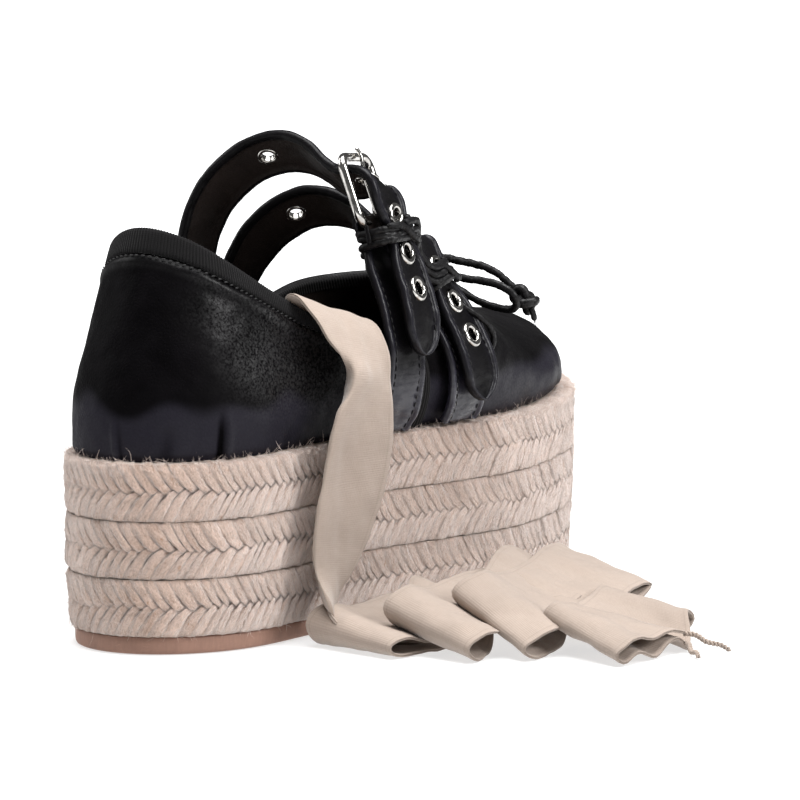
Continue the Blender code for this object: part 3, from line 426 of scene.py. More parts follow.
class Route:
    """A smooth path through rows of x, y, z, tilt and yaw, measured by its length.

    At each length it gives the point, the direction along, across (towards the toe
    side) and out (away from the foot)."""

    def __init__(self, rows):
        rows = np.array(rows, float)
        chord = run_of(rows[:, :3])
        fine = np.linspace(0, chord[-1], 1200)
        points = spline_points(chord, rows, fine)
        self.lengths = run_of(points)
        self.points = points
        self.tilts, self.yaws = np.radians([spline(chord, rows[:, k], fine) for k in (3, 4)])
        self.length = self.lengths[-1]

    def frame(self, s):
        """Points at lengths s, with the ways along, across and out; past the ends the route runs straight on."""
        s = np.asarray(s, float)
        pick = lambda at: points_at(at, self.lengths, self.points)
        inner = np.clip(s, ROUTE_STEP, self.length - ROUTE_STEP)
        along = unit(pick(inner + ROUTE_STEP) - pick(inner - ROUTE_STEP))
        tilt = np.interp(s, self.lengths, self.tilts)
        yaw = np.interp(s, self.lengths, self.yaws)
        across = np.stack([np.sin(yaw) * np.cos(tilt), np.cos(yaw) * np.cos(tilt), -np.sin(tilt)], axis=-1)
        across = unit(square_to(across, along))
        out = np.cross(along, across)
        over = s - np.clip(s, 0, self.length)
        return pick(s) + over[..., None] * along, along, across, out


def binding_depth(angles):
    """How far the grosgrain reaches down the wall."""
    return down_length(BINDING_DEPTH, angles)


def taper(height):
    """Draw-in of the sole's side at a height, growing towards the ground."""
    return HEEL_TAPER * (1 - height / SOLE_TOP) ** 2


def nearest_crossing(route, point, way, reach=20):
    """Length at which a route crosses the plane through a point square to a direction."""
    off = (route.points - point) @ way
    near = np.linalg.norm(route.points - point, axis=1) < reach
    return route.lengths[np.argmin(np.where(near, np.abs(off), 1e9))]


def buckle_frame(row):
    """Centre of a buckle and its two directions: down along the side bars and across along the end bars."""
    lean, tilt = np.radians(row[3:])
    down = np.array([np.sin(lean), 0, -np.cos(lean)])
    across = np.array([0, np.cos(tilt), -np.sin(tilt)])
    return np.array(row[:3]), down, unit(square_to(across, down))


def rounded_rectangle(centre, first, second, half_first, half_second, radius, corner_steps):
    """Points round a rectangle with rounded corners, in the plane of two directions."""
    quarter, step = np.divmod(np.arange(4 * corner_steps)[:, None], corner_steps)
    t = np.pi / 2 * (quarter + step / (corner_steps - 1))
    a = np.array([1, -1, -1, 1])[quarter] * (half_first - radius) + radius * np.cos(t)
    b = np.array([1, 1, -1, -1])[quarter] * (half_second - radius) + radius * np.sin(t)
    return centre + first * a + second * b


def smooth_line(rows, count):
    """Even points on the spline through rows of x, y, z."""
    rows = np.array(rows, float)
    chord = run_of(rows)
    fine = np.linspace(0, chord[-1], 600)
    points = spline_points(chord, rows, fine)
    run = run_of(points)
    return points_at(np.linspace(0, run[-1], count), run, points)


# ---- surfaces

# How a grid joins up: (the last row to the first, the last column to the first)
TUBE, ROLL, RING = (False, True), (True, False), (True, True)


def smoothstep(low, high, value):
    """0 below low, 1 above high and a smooth rise between."""
    t = np.clip((np.asarray(value, float) - low) / (high - low), 0, 1)
    return t * t * (3 - 2 * t)


def bell(value, middle, width):
    """1 at the middle, falling smoothly to 0 at a distance of about twice the width."""
    return np.exp(-((np.asarray(value, float) - middle) / width) ** 2)


def uneven(seed, points, size, terms=14):
    """Smooth uneven field of about -1 to 1 in space: a sum of sine waves about size long, in random directions."""
    rng = np.random.default_rng(seed)
    ways = unit(rng.normal(size=(terms, 3))) * TURN / np.asarray(size) * rng.uniform(0.6, 1.5, (terms, 1))
    return np.sin(points @ ways.T + rng.uniform(0, TURN, terms)).sum(axis=-1) / np.sqrt(terms)


def pairs(first, second):
    """Grid of each value of the first with each of the second."""
    return np.stack(np.meshgrid(first, second, indexing="ij"), axis=-1)


def shut(row):
    """A row of a tube's grid drawn to its middle, to close the tube."""
    return row.mean(axis=1, keepdims=True) + 0 * row


def grid_normals(points, wrap=(False, False)):
    """Unit normals of a grid: the cross product of its two directions at each point."""
    def slope(axis):
        if wrap[axis]:
            return np.roll(points, -1, axis) - np.roll(points, 1, axis)
        return np.gradient(points, axis=axis)
    return unit(np.cross(slope(0), slope(1)))


class Skin:
    """Gathers grids of points, in the tables' millimetres, and makes one mesh of them.

    Each grid gives a four-sided face between each four neighbours; wrap joins its last row or column to its first."""

    def __init__(self):
        self.count, self.points, self.faces, self.uvs, self.kinds, self.layers = 0, [], [], [], [], {}

    def add(self, grid, wrap=(False, False), uv=None, kind=0, flip=False, **layers):
        grid = np.asarray(grid, float)
        rows, cols = grid.shape[:2]
        number = np.arange(rows * cols).reshape(rows, cols) + self.count
        number = np.pad(number, ((0, wrap[0]), (0, wrap[1])), mode="wrap")
        corners = ((0, 0), (1, 0), (1, 1), (0, 1))
        if flip:
            corners = corners[::-1]
        high, wide = number.shape
        pick = lambda field: np.stack([field[a:high - 1 + a, b:wide - 1 + b] for a, b in corners], axis=2)
        faces = pick(number).reshape(-1, 4)
        if uv is None:
            uv = pairs(np.arange(high), np.arange(wide))
        self.faces.append(faces)
        self.uvs.append(pick(np.asarray(uv, float)).reshape(-1, 2))
        self.kinds.append(np.broadcast_to(kind, (high - 1, wide - 1)).reshape(-1))
        self.points.append(grid.reshape(-1, 3))
        for name, values in layers.items():
            row = self.layers.setdefault(name, [])
            missing = self.count - sum(len(part) for part in row)
            row += [np.zeros(missing), np.broadcast_to(values, (rows, cols)).reshape(-1).astype(float)]
        self.count += rows * cols
        return self

    def bar(self, grid):
        """A rod's grid, with its own UV."""
        return self.add(grid, TUBE, rod_uv(grid))

    def add_many(self, grids, wrap=(False, False)):
        """A stack of like grids: the faces of the first, repeated for each."""
        grids = np.asarray(grids, float)
        count, rows, cols = grids.shape[:3]
        one = Skin().add(grids[0], wrap)
        shift = (np.arange(count) * rows * cols + self.count)[:, None, None]
        self.faces.append((one.faces[0][None] + shift).reshape(-1, 4))
        self.uvs.append(np.tile(one.uvs[0], (count, 1)))
        self.kinds.append(np.tile(one.kinds[0], count))
        self.points.append(grids.reshape(-1, 3))
        self.count += count * rows * cols
        return self

    def make(self, name, finishes, weld=False, sharp=None):
        """The piece: an object of that name whose faces take the finish of their kind."""
        mesh = bpy.data.meshes.new(name)
        points = (np.concatenate(self.points) - HEEL_SEAT) * MM
        faces = np.concatenate(self.faces)
        mesh.vertices.add(len(points))
        mesh.vertices.foreach_set("co", points.ravel())
        mesh.loops.add(faces.size)
        mesh.loops.foreach_set("vertex_index", faces.ravel())
        mesh.polygons.add(len(faces))
        mesh.polygons.foreach_set("loop_start", np.arange(len(faces)) * 4)
        mesh.polygons.foreach_set("material_index", np.concatenate(self.kinds))
        mesh.update(calc_edges=True)
        mesh.uv_layers.new(name="surface").data.foreach_set("uv", np.concatenate(self.uvs).ravel())
        for layer, parts in self.layers.items():
            values = np.concatenate(parts)
            values = np.pad(values, (0, len(points) - len(values)))
            mesh.attributes.new(layer, "FLOAT", "POINT").data.foreach_set("value", values)
        if weld:
            work = bmesh.new()
            work.from_mesh(mesh)
            bmesh.ops.remove_doubles(work, verts=work.verts, dist=2e-6)
            work.to_mesh(mesh)
            work.free()
        mesh.shade_smooth()
        if sharp:
            mesh.set_sharp_from_angle(angle=np.radians(sharp))
        for finish in finishes:
            mesh.materials.append(finish)
        obj = bpy.data.objects.new(name, mesh)
        bpy.context.scene.collection.objects.link(obj)
        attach(obj, "root")
        return obj


def transport(path, start, closed=False):
    """Directions along a path, and two square to it that do not twist."""
    along = unit(np.roll(path, -1, 0) - np.roll(path, 1, 0)) if closed else unit(np.gradient(path, axis=0))
    side = np.array(start, float)
    sides = []
    for way in along:
        side = unit(square_to(side, way))
        sides.append(side)
    sides = np.array(sides)
    if closed:
        last = unit(square_to(sides[-1], along[0]))
        turn = np.arctan2(np.cross(last, sides[0]) @ along[0], last @ sides[0])
        share = (np.arange(len(path)) / len(path) * turn)[:, None]
        sides = sides * np.cos(share) + np.cross(along, sides) * np.sin(share)
    return along, sides, np.cross(along, sides)


def rod(path, radius, sides=12, start=(0, 0, 1), closed=False, flat=1):
    """Grid of a round bar along a path: each station carries a circle, squeezed by flat across its second way.

    Open ends close in half a ball."""
    path = np.asarray(path, float)
    radius = np.broadcast_to(radius, len(path)).astype(float)
    along, one, two = transport(path, start, closed)
    if not closed:
        steps = np.sin(np.linspace(0, np.pi / 2, 5))[1:]
        shrink = np.sqrt(np.clip(1 - steps ** 2, 0, 1))
        head = (path[0] - along[0] * radius[0] * steps[:, None])[::-1]
        tail = path[-1] + along[-1] * radius[-1] * steps[:, None]
        path = np.concatenate([head, path, tail])
        one, two = (np.pad(ways, ((4, 4), (0, 0)), mode="edge") for ways in (one, two))
        radius = np.concatenate([radius[0] * shrink[::-1], radius, radius[-1] * shrink])
    turns = circle(sides)[None, :, None]
    ring = np.cos(turns) * one[:, None] + flat * np.sin(turns) * two[:, None]
    return path[:, None] + radius[:, None, None] * ring


def rod_uv(grid):
    """UV of a bar's grid in millimetres: length along it and way round it."""
    rows, cols = grid.shape[:2]
    length = run_of(grid.mean(axis=1))
    girth = np.linalg.norm(grid[rows // 2] - grid[rows // 2].mean(axis=0), axis=1).mean() * TURN
    return pairs(length, np.linspace(0, girth, cols + 1))


def from_middle(ring, steps):
    """Rings from a ring's middle line out towards it; point i of each meets point -i on the line."""
    middle = (ring + np.roll(ring[::-1], 1, axis=0)) / 2
    shares = np.linspace(1, 0, steps + 1)[:-1, None, None]
    return middle * shares + ring * (1 - shares)


def closed_slab(levels, steps=3):
    """Rings from the middle of the underside, out and up the side, and back to the middle of the top."""
    return np.concatenate([from_middle(levels[0], steps), levels, from_middle(levels[-1], steps)[::-1]])


# ---- finishes


class Signal:
    """A shader socket in sums: each operator adds one Math node to the finish."""

    def __init__(self, finish, socket):
        self.finish, self.socket = finish, socket

    def _math(self, operation, *values):
        return self.finish.node("ShaderNodeMath", {"operation": operation}, dict(enumerate(values)))

    def __add__(self, other):
        return self._math("ADD", self, other)

    __radd__ = __add__

    def __sub__(self, other):
        return self._math("SUBTRACT", self, other)

    def __rsub__(self, other):
        return self._math("SUBTRACT", other, self)

    def __mul__(self, other):
        return self._math("MULTIPLY", self, other)

    __rmul__ = __mul__

    def __truediv__(self, other):
        return self._math("DIVIDE", self, other)

    def sine(self):
        return self._math("SINE", self)

    def size(self):
        return self._math("ABSOLUTE", self)

    def between(self, low, high):
        """0 below low and 1 above high, with a smooth rise between."""
        return self.finish.node("ShaderNodeMapRange", {"interpolation_type": "SMOOTHSTEP"},
                                {"Value": self, "From Min": low, "From Max": high})


class Finish:
    """A material in the making. Constants go on the shader's own sockets."""

    def __init__(self, name, **constants):
        self.material = bpy.data.materials.new(name)
        self.material.use_nodes = True
        self.tree = self.material.node_tree
        self.shader = self.tree.nodes["Principled BSDF"]
        for socket, value in constants.items():
            self.shader.inputs[socket.replace("_", " ")].default_value = value

    def node(self, kind, settings=None, inputs=None, output=0):
        """Add a node: settings first, then values or links of its sockets."""
        node = self.tree.nodes.new(kind)
        for key, value in (settings or {}).items():
            if key == "stops":
                ramp = node.color_ramp
                while len(ramp.elements) < len(value):
                    ramp.elements.new(0.5)
                for element, (position, colour) in zip(ramp.elements, value):
                    element.position, element.color = position, (*colour, 1)
            else:
                setattr(node, key, value)
        for key, value in (inputs or {}).items():
            self.feed(node.inputs[key], value)
        return Signal(self, node.outputs[output])

    def feed(self, socket, value):
        if isinstance(value, Signal):
            self.tree.links.new(value.socket, socket)
        else:
            socket.default_value = (*value, 1) if socket.type == "RGBA" and len(value) == 3 else value

    def place(self):
        return self.node("ShaderNodeTexCoord", output="Object")

    def surface(self):
        return self.node("ShaderNodeUVMap", {"uv_map": "surface"})

    def parts(self, vector):
        node = self.node("ShaderNodeSeparateXYZ", inputs={0: vector}).socket.node
        return [Signal(self, socket) for socket in node.outputs]

    def layer(self, name):
        return self.node("ShaderNodeAttribute", {"attribute_name": name}, output="Fac")

    def stretch(self, vector, scale):
        return self.node("ShaderNodeVectorMath", {"operation": "MULTIPLY"}, {0: vector, 1: scale})

    def noise(self, vector, scale, detail=3, roughness=0.55, distortion=0):
        return self.node("ShaderNodeTexNoise", inputs={"Vector": vector, "Scale": scale, "Detail": detail,
                                                       "Roughness": roughness, "Distortion": distortion})

    def cells(self, vector, scale):
        """Distance to the edges of a pattern of cells."""
        return self.node("ShaderNodeTexVoronoi", {"feature": "DISTANCE_TO_EDGE"}, {"Vector": vector, "Scale": scale},
                         "Distance")

    def mix(self, factor, first, second):
        return self.node("ShaderNodeMix", {"data_type": "RGBA"}, {0: factor, 6: first, 7: second}, 2)

    def ramp(self, factor, *stops):
        return self.node("ShaderNodeValToRGB", {"stops": stops}, {0: factor})

    def bump(self, height, distance, strength=1):
        return self.node("ShaderNodeBump", inputs={"Height": height, "Distance": distance, "Strength": strength})

    def set(self, **links):
        for socket, signal in links.items():
            self.feed(self.shader.inputs[socket.replace("_", " ")], signal)
        return self.material


def tint(colour, share):
    """A colour times a share, no channel above 1."""
    return tuple(min(1, c * share) for c in colour)


def jute_finish(light, dark):
    """Jute: fine pale and brown fibres along each strand, with a few orange flecks; painted shade browns the gaps
    between strands and the seams where courses meet.
    """
    f = Finish("jute", Roughness=0.95, Sheen_Weight=1, Sheen_Roughness=0.38, Specular_IOR_Level=0.1)
    uv, place = f.surface(), f.place()
    fine = f.noise(f.stretch(uv, (5.5, 0.55, 1)), 1, 4, 0.7, 0.5)
    coarse = f.noise(f.stretch(uv, (1.6, 0.22, 1)), 1, 3, 0.6, 0.6)
    felt = f.noise(place, 1500, 4, 0.7)
    patch = f.noise(place, 110, 3)
    fleck = f.noise(f.stretch(place, (1, 1, 0.45)), 520, 2).between(0.66, 0.75)
    speck = f.noise(f.stretch(uv, (2.2, 0.8, 1)), 1, 3, 0.7).between(0.55, 0.68)
    hollow, seam, tone = f.layer("hollow"), f.layer("seam"), f.layer("tone")
    value = fine * 0.6 + coarse * 0.3 + felt * 0.5 + patch * 0.25 + tone * 0.025
    body = f.ramp(value, (0.66, dark), (0.83, light), (0.98, tint(light, 1.25)))
    # Painted shade: the hollow layer darkens the colour towards brown in the gaps between strands.
    body = f.mix(hollow.between(0.45, 1) * 0.7, body, tuple(c * k for c, k in zip(dark, (0.46, 0.4, 0.36))))
    body = f.mix(speck * 0.45, body, (0.34, 0.19, 0.11))
    # Painted shade: the seam layer darkens the colour towards brown where one course meets the next.
    body = f.mix(seam * 0.45, body, (0.3, 0.17, 0.1))
    body = f.mix(fleck * 0.6, body, (0.4, 0.17, 0.06))
    return f.set(Base_Color=body, Normal=f.bump(fine * 1 + coarse * 0.8 + felt * 0.9, 0.0008, 1))


def fibre_finish(light):
    """Loose jute fibres: the jute's light colour, varied from fibre to fibre."""
    f = Finish("jute_fibre", Roughness=0.8, Specular_IOR_Level=0.2)
    light = tuple(c * 0.7 + 0.26 for c in light)
    return f.set(Base_Color=f.ramp(f.noise(f.place(), 300, 1), (0.3, tint(light, 0.8)),
                                   (0.7, tint(light, 1.15))))


def nappa_finish(colour):
    """Nappa: near black, with a pebbled sheen where the gloss layer lies and, low down by the rope, a painted bluish
    reflection of the floor.
    """
    f = Finish("nappa", IOR=1.13, Specular_IOR_Level=0.16, Coat_Roughness=0.38)
    place = f.place()
    gloss, band = f.layer("gloss"), f.layer("band")
    cell = f.cells(place, 780).between(0.02, 0.34)
    pores = f.noise(place, 1050, 2, 0.6, 0.3)
    cloud = f.noise(place, 60, 4, 0.55, 0.6)
    wrinkle = f.noise(place, 260, 3, 0.55, 0.4)
    height = cell * 0.5 + pores * 0.6 + wrinkle * 1.1
    tone = f.mix(cloud.between(0.3, 0.75), tint(colour, 0.7), tint(colour, 1.5))
    # Painted reflection: the band layer lightens the colour to a bluish grey low on the wall.
    tone = f.mix(band * 0.85, tone, (0.015, 0.0138, 0.0195))
    grain = pores.between(0.36, 0.62) * 0.7 + cell * 0.4 + (wrinkle - 0.5) * 0.3
    pebble = f.layer("pebble")
    coat = gloss * (grain * pebble * 1.4 + (1 - pebble) * 0.42) * (cloud.between(0.22, 0.66) * 0.25 + 0.75)
    return f.set(Base_Color=tone, Roughness=0.5 + cloud * 0.15, Coat_Weight=coat, Normal=f.bump(height, 0.00022, 0.6))


def strap_finish(colour):
    """Strap leather: the nappa's grain with fine creases across its length, shinier where the gloss layer lies, which
    also lightens its colour to a bluish grey as a painted highlight.
    """
    f = Finish("strap_leather", Specular_IOR_Level=0.06, Coat_Roughness=0.26)
    place, uv = f.place(), f.surface()
    gloss = f.layer("gloss")
    cell = f.cells(place, 1300).between(0.02, 0.3)
    crease = f.noise(f.stretch(uv, (0.9, 0.18, 1)), 1, 4, 0.6, 0.5)
    cloud = f.noise(place, 110, 4, 0.6, 0.5)
    tone = f.mix(cloud.between(0.3, 0.8), tint(colour, 0.7), tint(colour, 1.7))
    # Painted highlight: the gloss layer lightens the colour to a bluish grey.
    tone = f.mix(gloss * 0.7, tone, (0.021, 0.02, 0.031))
    coat = (gloss * 0.85 + 0.16) * (cloud.between(0.2, 0.7) * 0.5 + 0.5) * (crease.between(0.3, 0.62) * 0.5 + 0.5)
    return f.set(Base_Color=tone, Roughness=0.42 + cloud * 0.16 + crease * 0.06, Coat_Weight=coat,
                 Normal=f.bump(cell * 0.4 + crease * 1.1, 0.00016, 0.7))


def lining_finish(colour):
    """Lining leather: matt, brown-black and finely grained, with darker patches from wear."""
    f = Finish("lining", IOR=1.25)
    place = f.place()
    cell = f.cells(place, 900).between(0, 0.3)
    grain = f.noise(place, 700, 4, 0.65)
    cloud = f.noise(place, 60, 3)
    tone = f.ramp(cloud * 0.6 + grain * 0.4, (0.3, tint(colour, 0.6)), (0.7, tint(colour, 1.5)))
    return f.set(Base_Color=tone, Roughness=0.52 + cloud * 0.16, Normal=f.bump(cell * 0.5 + grain, 0.00014, 0.7))


def grosgrain_finish(colour):
    """Grosgrain: ribs in relief come from the mesh; the threads that wrap them are drawn across each rib."""
    f = Finish("grosgrain", Roughness=0.8, Sheen_Weight=0.05, Sheen_Roughness=0.5, Specular_IOR_Level=0.1)
    across = f.parts(f.surface())[0]
    thread = (across * (TURN / 0.32)).sine() * 0.5 + 0.5
    fuzz = f.noise(f.place(), 1800, 3)
    tone = f.mix(thread * 0.4 + fuzz * 0.5, tint(colour, 0.5), tint(colour, 2.2))
    return f.set(Base_Color=tone, Normal=f.bump(thread * 0.6 + fuzz * 0.6, 0.00007, 0.7))


def rubber_finish(colour):
    """Rubber: an even brown with fine lighter scuffs and a faint vertical grain."""
    f = Finish("rubber", Specular_IOR_Level=0.3)
    place = f.place()
    grain = f.noise(f.stretch(place, (1, 1, 0.25)), 900, 4, 0.6)
    cloud = f.noise(place, 70, 4, 0.6)
    scuff = f.noise(f.stretch(place, (1, 1, 6)), 240, 3, 0.7, 1).between(0.58, 0.72)
    tone = f.ramp(grain * 0.4 + cloud * 0.6, (0.3, tint(colour, 0.8)), (0.72, tint(colour, 1.22)))
    tone = f.mix(scuff * 0.3, tone, tint(colour, 1.7))
    return f.set(Base_Color=tone, Roughness=0.55 + grain * 0.2, Normal=f.bump(grain + scuff * 0.5, 0.00008, 0.6))


def nickel_finish(colour):
    """Polished nickel: bright, with faint turning marks and cloudy fingerprints in its gloss."""
    f = Finish("nickel", Metallic=1, Specular_IOR_Level=0.5)
    place = f.place()
    cloud = f.noise(place, 380, 3)
    scratch = f.noise(f.stretch(place, (1, 1, 7)), 900, 4, 0.6, 0.6)
    stain = f.noise(place, 210, 3, 0.6, 1).between(0.42, 0.62)
    tone = f.mix(stain, tint(colour, 0.62), colour)
    return f.set(Base_Color=tone, Roughness=0.08 + cloud * 0.12 + scratch.between(0.6, 0.8) * 0.12,
                 Normal=f.bump(scratch * 0.3 + cloud, 0.00008, 0.4))


def lace_finish(colour):
    """Leather lace: smooth and slightly glossy, with fine creases round it."""
    f = Finish("lace", Specular_IOR_Level=0.16, Coat_Roughness=0.3)
    uv, place = f.surface(), f.place()
    crease = f.noise(f.stretch(uv, (1.6, 0.3, 1)), 1, 4, 0.65, 0.6)
    grain = f.noise(place, 1500, 3)
    cloud = f.noise(place, 240, 3, 0.6)
    tone = f.mix(grain.between(0.3, 0.8), colour, tuple(c * 1.7 + 0.002 for c in colour))
    return f.set(Base_Color=tone, Roughness=0.42 + crease * 0.16,
                 Coat_Weight=cloud.between(0.35, 0.7) * 0.45 * crease.between(0.3, 0.6),
                 Normal=f.bump(crease + grain * 0.4, 0.00016, 0.7))


def thread_finish(colour):
    """Sewing thread: matt, twisted."""
    f = Finish("thread", Roughness=0.6, Specular_IOR_Level=0.35)
    twist = f.noise(f.place(), 2600, 2)
    return f.set(Base_Color=f.mix(twist, tint(colour, 0.5), tint(colour, 2.2)),
                 Normal=f.bump(twist, 0.00006, 0.6))


def tape_finish(colour):
    """Cotton tape: fine ribs across it, a weave of threads between them, a plain selvedge along each edge, and painted
    shade on its hanging part.
    """
    f = Finish("tape", Roughness=0.85, Sheen_Weight=0.35, Sheen_Roughness=0.4, Specular_IOR_Level=0.15)
    uv, place = f.surface(), f.place()
    along, across, _ = f.parts(uv)
    rib = (along * (TURN / 0.75)).sine() * 0.5 + 0.5
    warp = (across * (TURN / 0.52)).sine() * 0.5 + 0.5
    slub = f.noise(f.stretch(uv, (0.3, 2.4, 1)), 1, 4, 0.6)
    weft = f.noise(f.stretch(uv, (2.6, 0.16, 1)), 1, 3, 0.6)
    cloud = f.noise(place, 55, 3)
    edge = (across / 38.6 - 0.5).size()
    line = edge.between(0.448, 0.455) * (1 - edge.between(0.46, 0.467)) * 0.6 + edge.between(0.501, 0.508)
    value = rib * 0.08 + warp * 0.08 + slub * 0.36 + weft * 0.32 + cloud * 0.26
    tone = f.ramp(value, (0.3, tint(colour, 0.8)), (0.75, tint(colour, 1.14)))
    # Painted shade: the tie darkens between about 12 and 88 mm over the floor, fully from 24 to 60 mm.
    tall = f.parts(place)[2]
    tone = f.mix(tall.between(0.012, 0.024) * (1 - tall.between(0.06, 0.088)) * 0.3, tone, tint(colour, 0.62))
    tone = f.mix(line * 0.34, tone, tint(colour, 0.45))
    return f.set(Base_Color=tone, Normal=f.bump(rib * 0.35 + warp * 0.25 + slub * 0.5 + weft * 0.8, 0.00014, 0.7))


# ---- the sole


def sole_ring():
    """Fine plan of the rope's side, its outward normals and the length run at each point."""
    plan = sole_outline(circle(2880))
    return looped(plan), looped(plan_normals(plan)), run_of(looped(plan))


def along_side(run, inset, height, ring):
    """Points on the sole's side at a length run round it, drawn in by inset, at a height before the toe spring."""
    plan, normal, length = ring
    at = run % length[-1]
    spot = points_at(at, length, plan) - points_at(at, length, normal) * np.asarray(inset)[..., None]
    return np.concatenate([spot, (height + spring(spot[..., 1]))[..., None]], axis=-1)


def rope_course(course, ring):
    """One braided course of the sole, and the places where loose fibres leave it.

    Each column of the grid keeps its phase, one unit for each strand, and trails back with the square root of its
    distance from the braid's middle line. Across a strand the height is a round pillow that meets its neighbour in
    a sharp gap; along it the height starts from a rounded tip tucked in at the middle line, which zigzags because
    the strands below are half a strand behind those above. Towards the toe the gaps are felted over."""
    strands = round(ring[2][-1] / sizes().strand_pitch)
    pitch = ring[2][-1] / strands
    phase = (np.arange(strands)[:, None] + np.array([0, 0.07, 0.25, 0.43, 0.5, 0.57, 0.75, 0.93])).ravel()
    rng = np.random.default_rng(11 + course)
    turn = phase / strands * TURN
    drift = uneven(21 + course, np.column_stack([np.cos(turn), np.sin(turn), 0 * turn]), 0.25)
    run = phase * pitch + drift * 1.1
    tall = COURSE_PITCH - GAP
    calm = 1 - 0.7 * smoothstep(60, 150, along_side(run, 0, 0, ring)[:, 1])
    middle = tall * 0.5 - 0.75 * np.cos(TURN * (phase - 0.5)) + 0.45 * np.roll(drift, 300)
    share = np.array([0, 0.05, 0.12, 0.2, 0.3, 0.42, 0.55, 0.68, 0.79, 0.88, 0.94, 0.98, 1])
    halves = []
    for way, shift in ((-1, 0.5), (1, 0)):
        reach = middle if way < 0 else tall - middle
        away = share[:, None] * reach
        strand = np.floor(phase - shift).astype(int) % strands
        own = rng.normal(size=(4, strands))[:, strand]
        across = np.abs(2 * ((phase - shift) % 1) - 1)
        pillow = np.clip(1 - across ** 4, 0, 1) ** 0.7
        tip = np.sqrt(np.clip(1 - (1 - np.clip(away / 1.8, 0, 1)) ** 2, 0, 1))
        fade = 1 - 0.9 * smoothstep(0.08 + 0.08 * own[3], 0.1 + 0.62 * calm, away / reach)
        depth = sizes().strand_depth * calm * (1 + 0.22 * own[0]) * fade
        relief = depth * (pillow * tip - 1) + 0.16 * own[1] * smoothstep(0, 3, away)
        lean = 4.9 * np.sqrt(away / 9) + 1.9 * away / 9 + 0.35 * own[2] * away / 9
        halves.append(np.broadcast_arrays(middle + way * away, run - lean, relief, away, across, own[3], phase - shift))
    height, run, relief, away, across, own, phase = (
        np.concatenate([low[::-1], high[1:]]) for low, high in zip(*halves))
    base = OUTSOLE_THICK + course * COURSE_PITCH + GAP / 2
    bulge = -0.1 + (ROPE_ROUND - 1.8) * calm * np.abs(2 * height / tall - 1) ** 9
    level = base + height
    points = along_side(run, bulge + taper(level) - relief, level, ring)
    ruffle = 0.13 * uneven(31 + course, points, 2.2) + 0.16 * uneven(41 + course, points, 6)
    points += ruffle[..., None] * grid_normals(points, TUBE)
    if course == COURSES - 1:
        rim = []
        for k, (inset, rise) in enumerate(((3.3, 0.35), (4.4, 0.45), (6, 0.2), (8, 0))):
            rim.append(along_side(run[-1] - 0.8 * k, inset, level[-1] + rise * (1 - 0.5 * across[-1]), ring))
        rim = np.stack(rim)
        rim[..., 2] += 0.3 * uneven(51, rim, 1.8) + 0.15 * uneven(52, rim, 5)
        points = np.concatenate([points, rim])
    rings = closed_slab(points)
    pad = lambda field, more=0: np.pad(np.pad(field, ((3, len(rings) - 3 - len(height)), (0, 0)), mode="edge"),
                                       ((0, 0), (0, more)), mode="wrap")
    uv = np.stack([pad(phase % 1 * pitch + 7.3 * np.floor(phase), 1), pad(away * 1.25, 1)], axis=-1)
    # The hollow and seam layers carry painted shade: depth between strands, and nearness to the next course.
    skin = Skin().add(rings, TUBE, uv, flip=True, hollow=pad(np.clip(-relief / sizes().strand_depth, 0, 1)),
                      seam=pad(smoothstep(0.9, 1, np.abs(2 * height / tall - 1))), tone=pad(own))
    return skin, points


def loose_fibres(seed, roots, normals, ways, count, low, high, lift, radius, spread=0.5):
    """Fibres standing off a surface: each is an arc of three-sided rings whose radius falls to a point.

    The arc leaves its root near the way of its strand, turned by a random spread, and curls with the square of the
    length run."""
    rng = np.random.default_rng(seed)
    pick = rng.integers(0, len(roots), count)
    root, normal, way = roots[pick], normals[pick], ways[pick]
    way = unit(way * rng.choice((-1, 1), (count, 1)) + rng.normal(size=(count, 3)) * spread)
    way = unit(square_to(way, normal) + normal * rng.uniform(0, lift, (count, 1)))
    side = np.cross(way, unit(rng.normal(size=(count, 3))))
    length = rng.uniform(low, high, (count, 1, 1)) * rng.uniform(0.5, 1, (count, 1, 1))
    t = np.linspace(0, 1, 3 if high < 4 else 5)[None, :, None]
    bend = unit(side) * rng.uniform(0.1, 0.75, (count, 1))
    path = root[:, None] + length * (way[:, None] * t + bend[:, None] * t ** 2
                                     + 0.3 * np.cross(way, bend)[:, None] * np.sin(3 * t) * t)
    path[..., 2] = np.maximum(path[..., 2], FIBRE_FLOOR)
    turns = circle(3)[:, None]
    one, two = unit(side)[:, None, None], unit(np.cross(way, side))[:, None, None]
    size = radius * rng.uniform(0.7, 1.3, (count, 1, 1, 1)) * (1 - 0.8 * t[..., None])
    ring = path[:, :, None] + size * (np.cos(turns) * one + np.sin(turns) * two)
    return ring.transpose(0, 2, 1, 3)


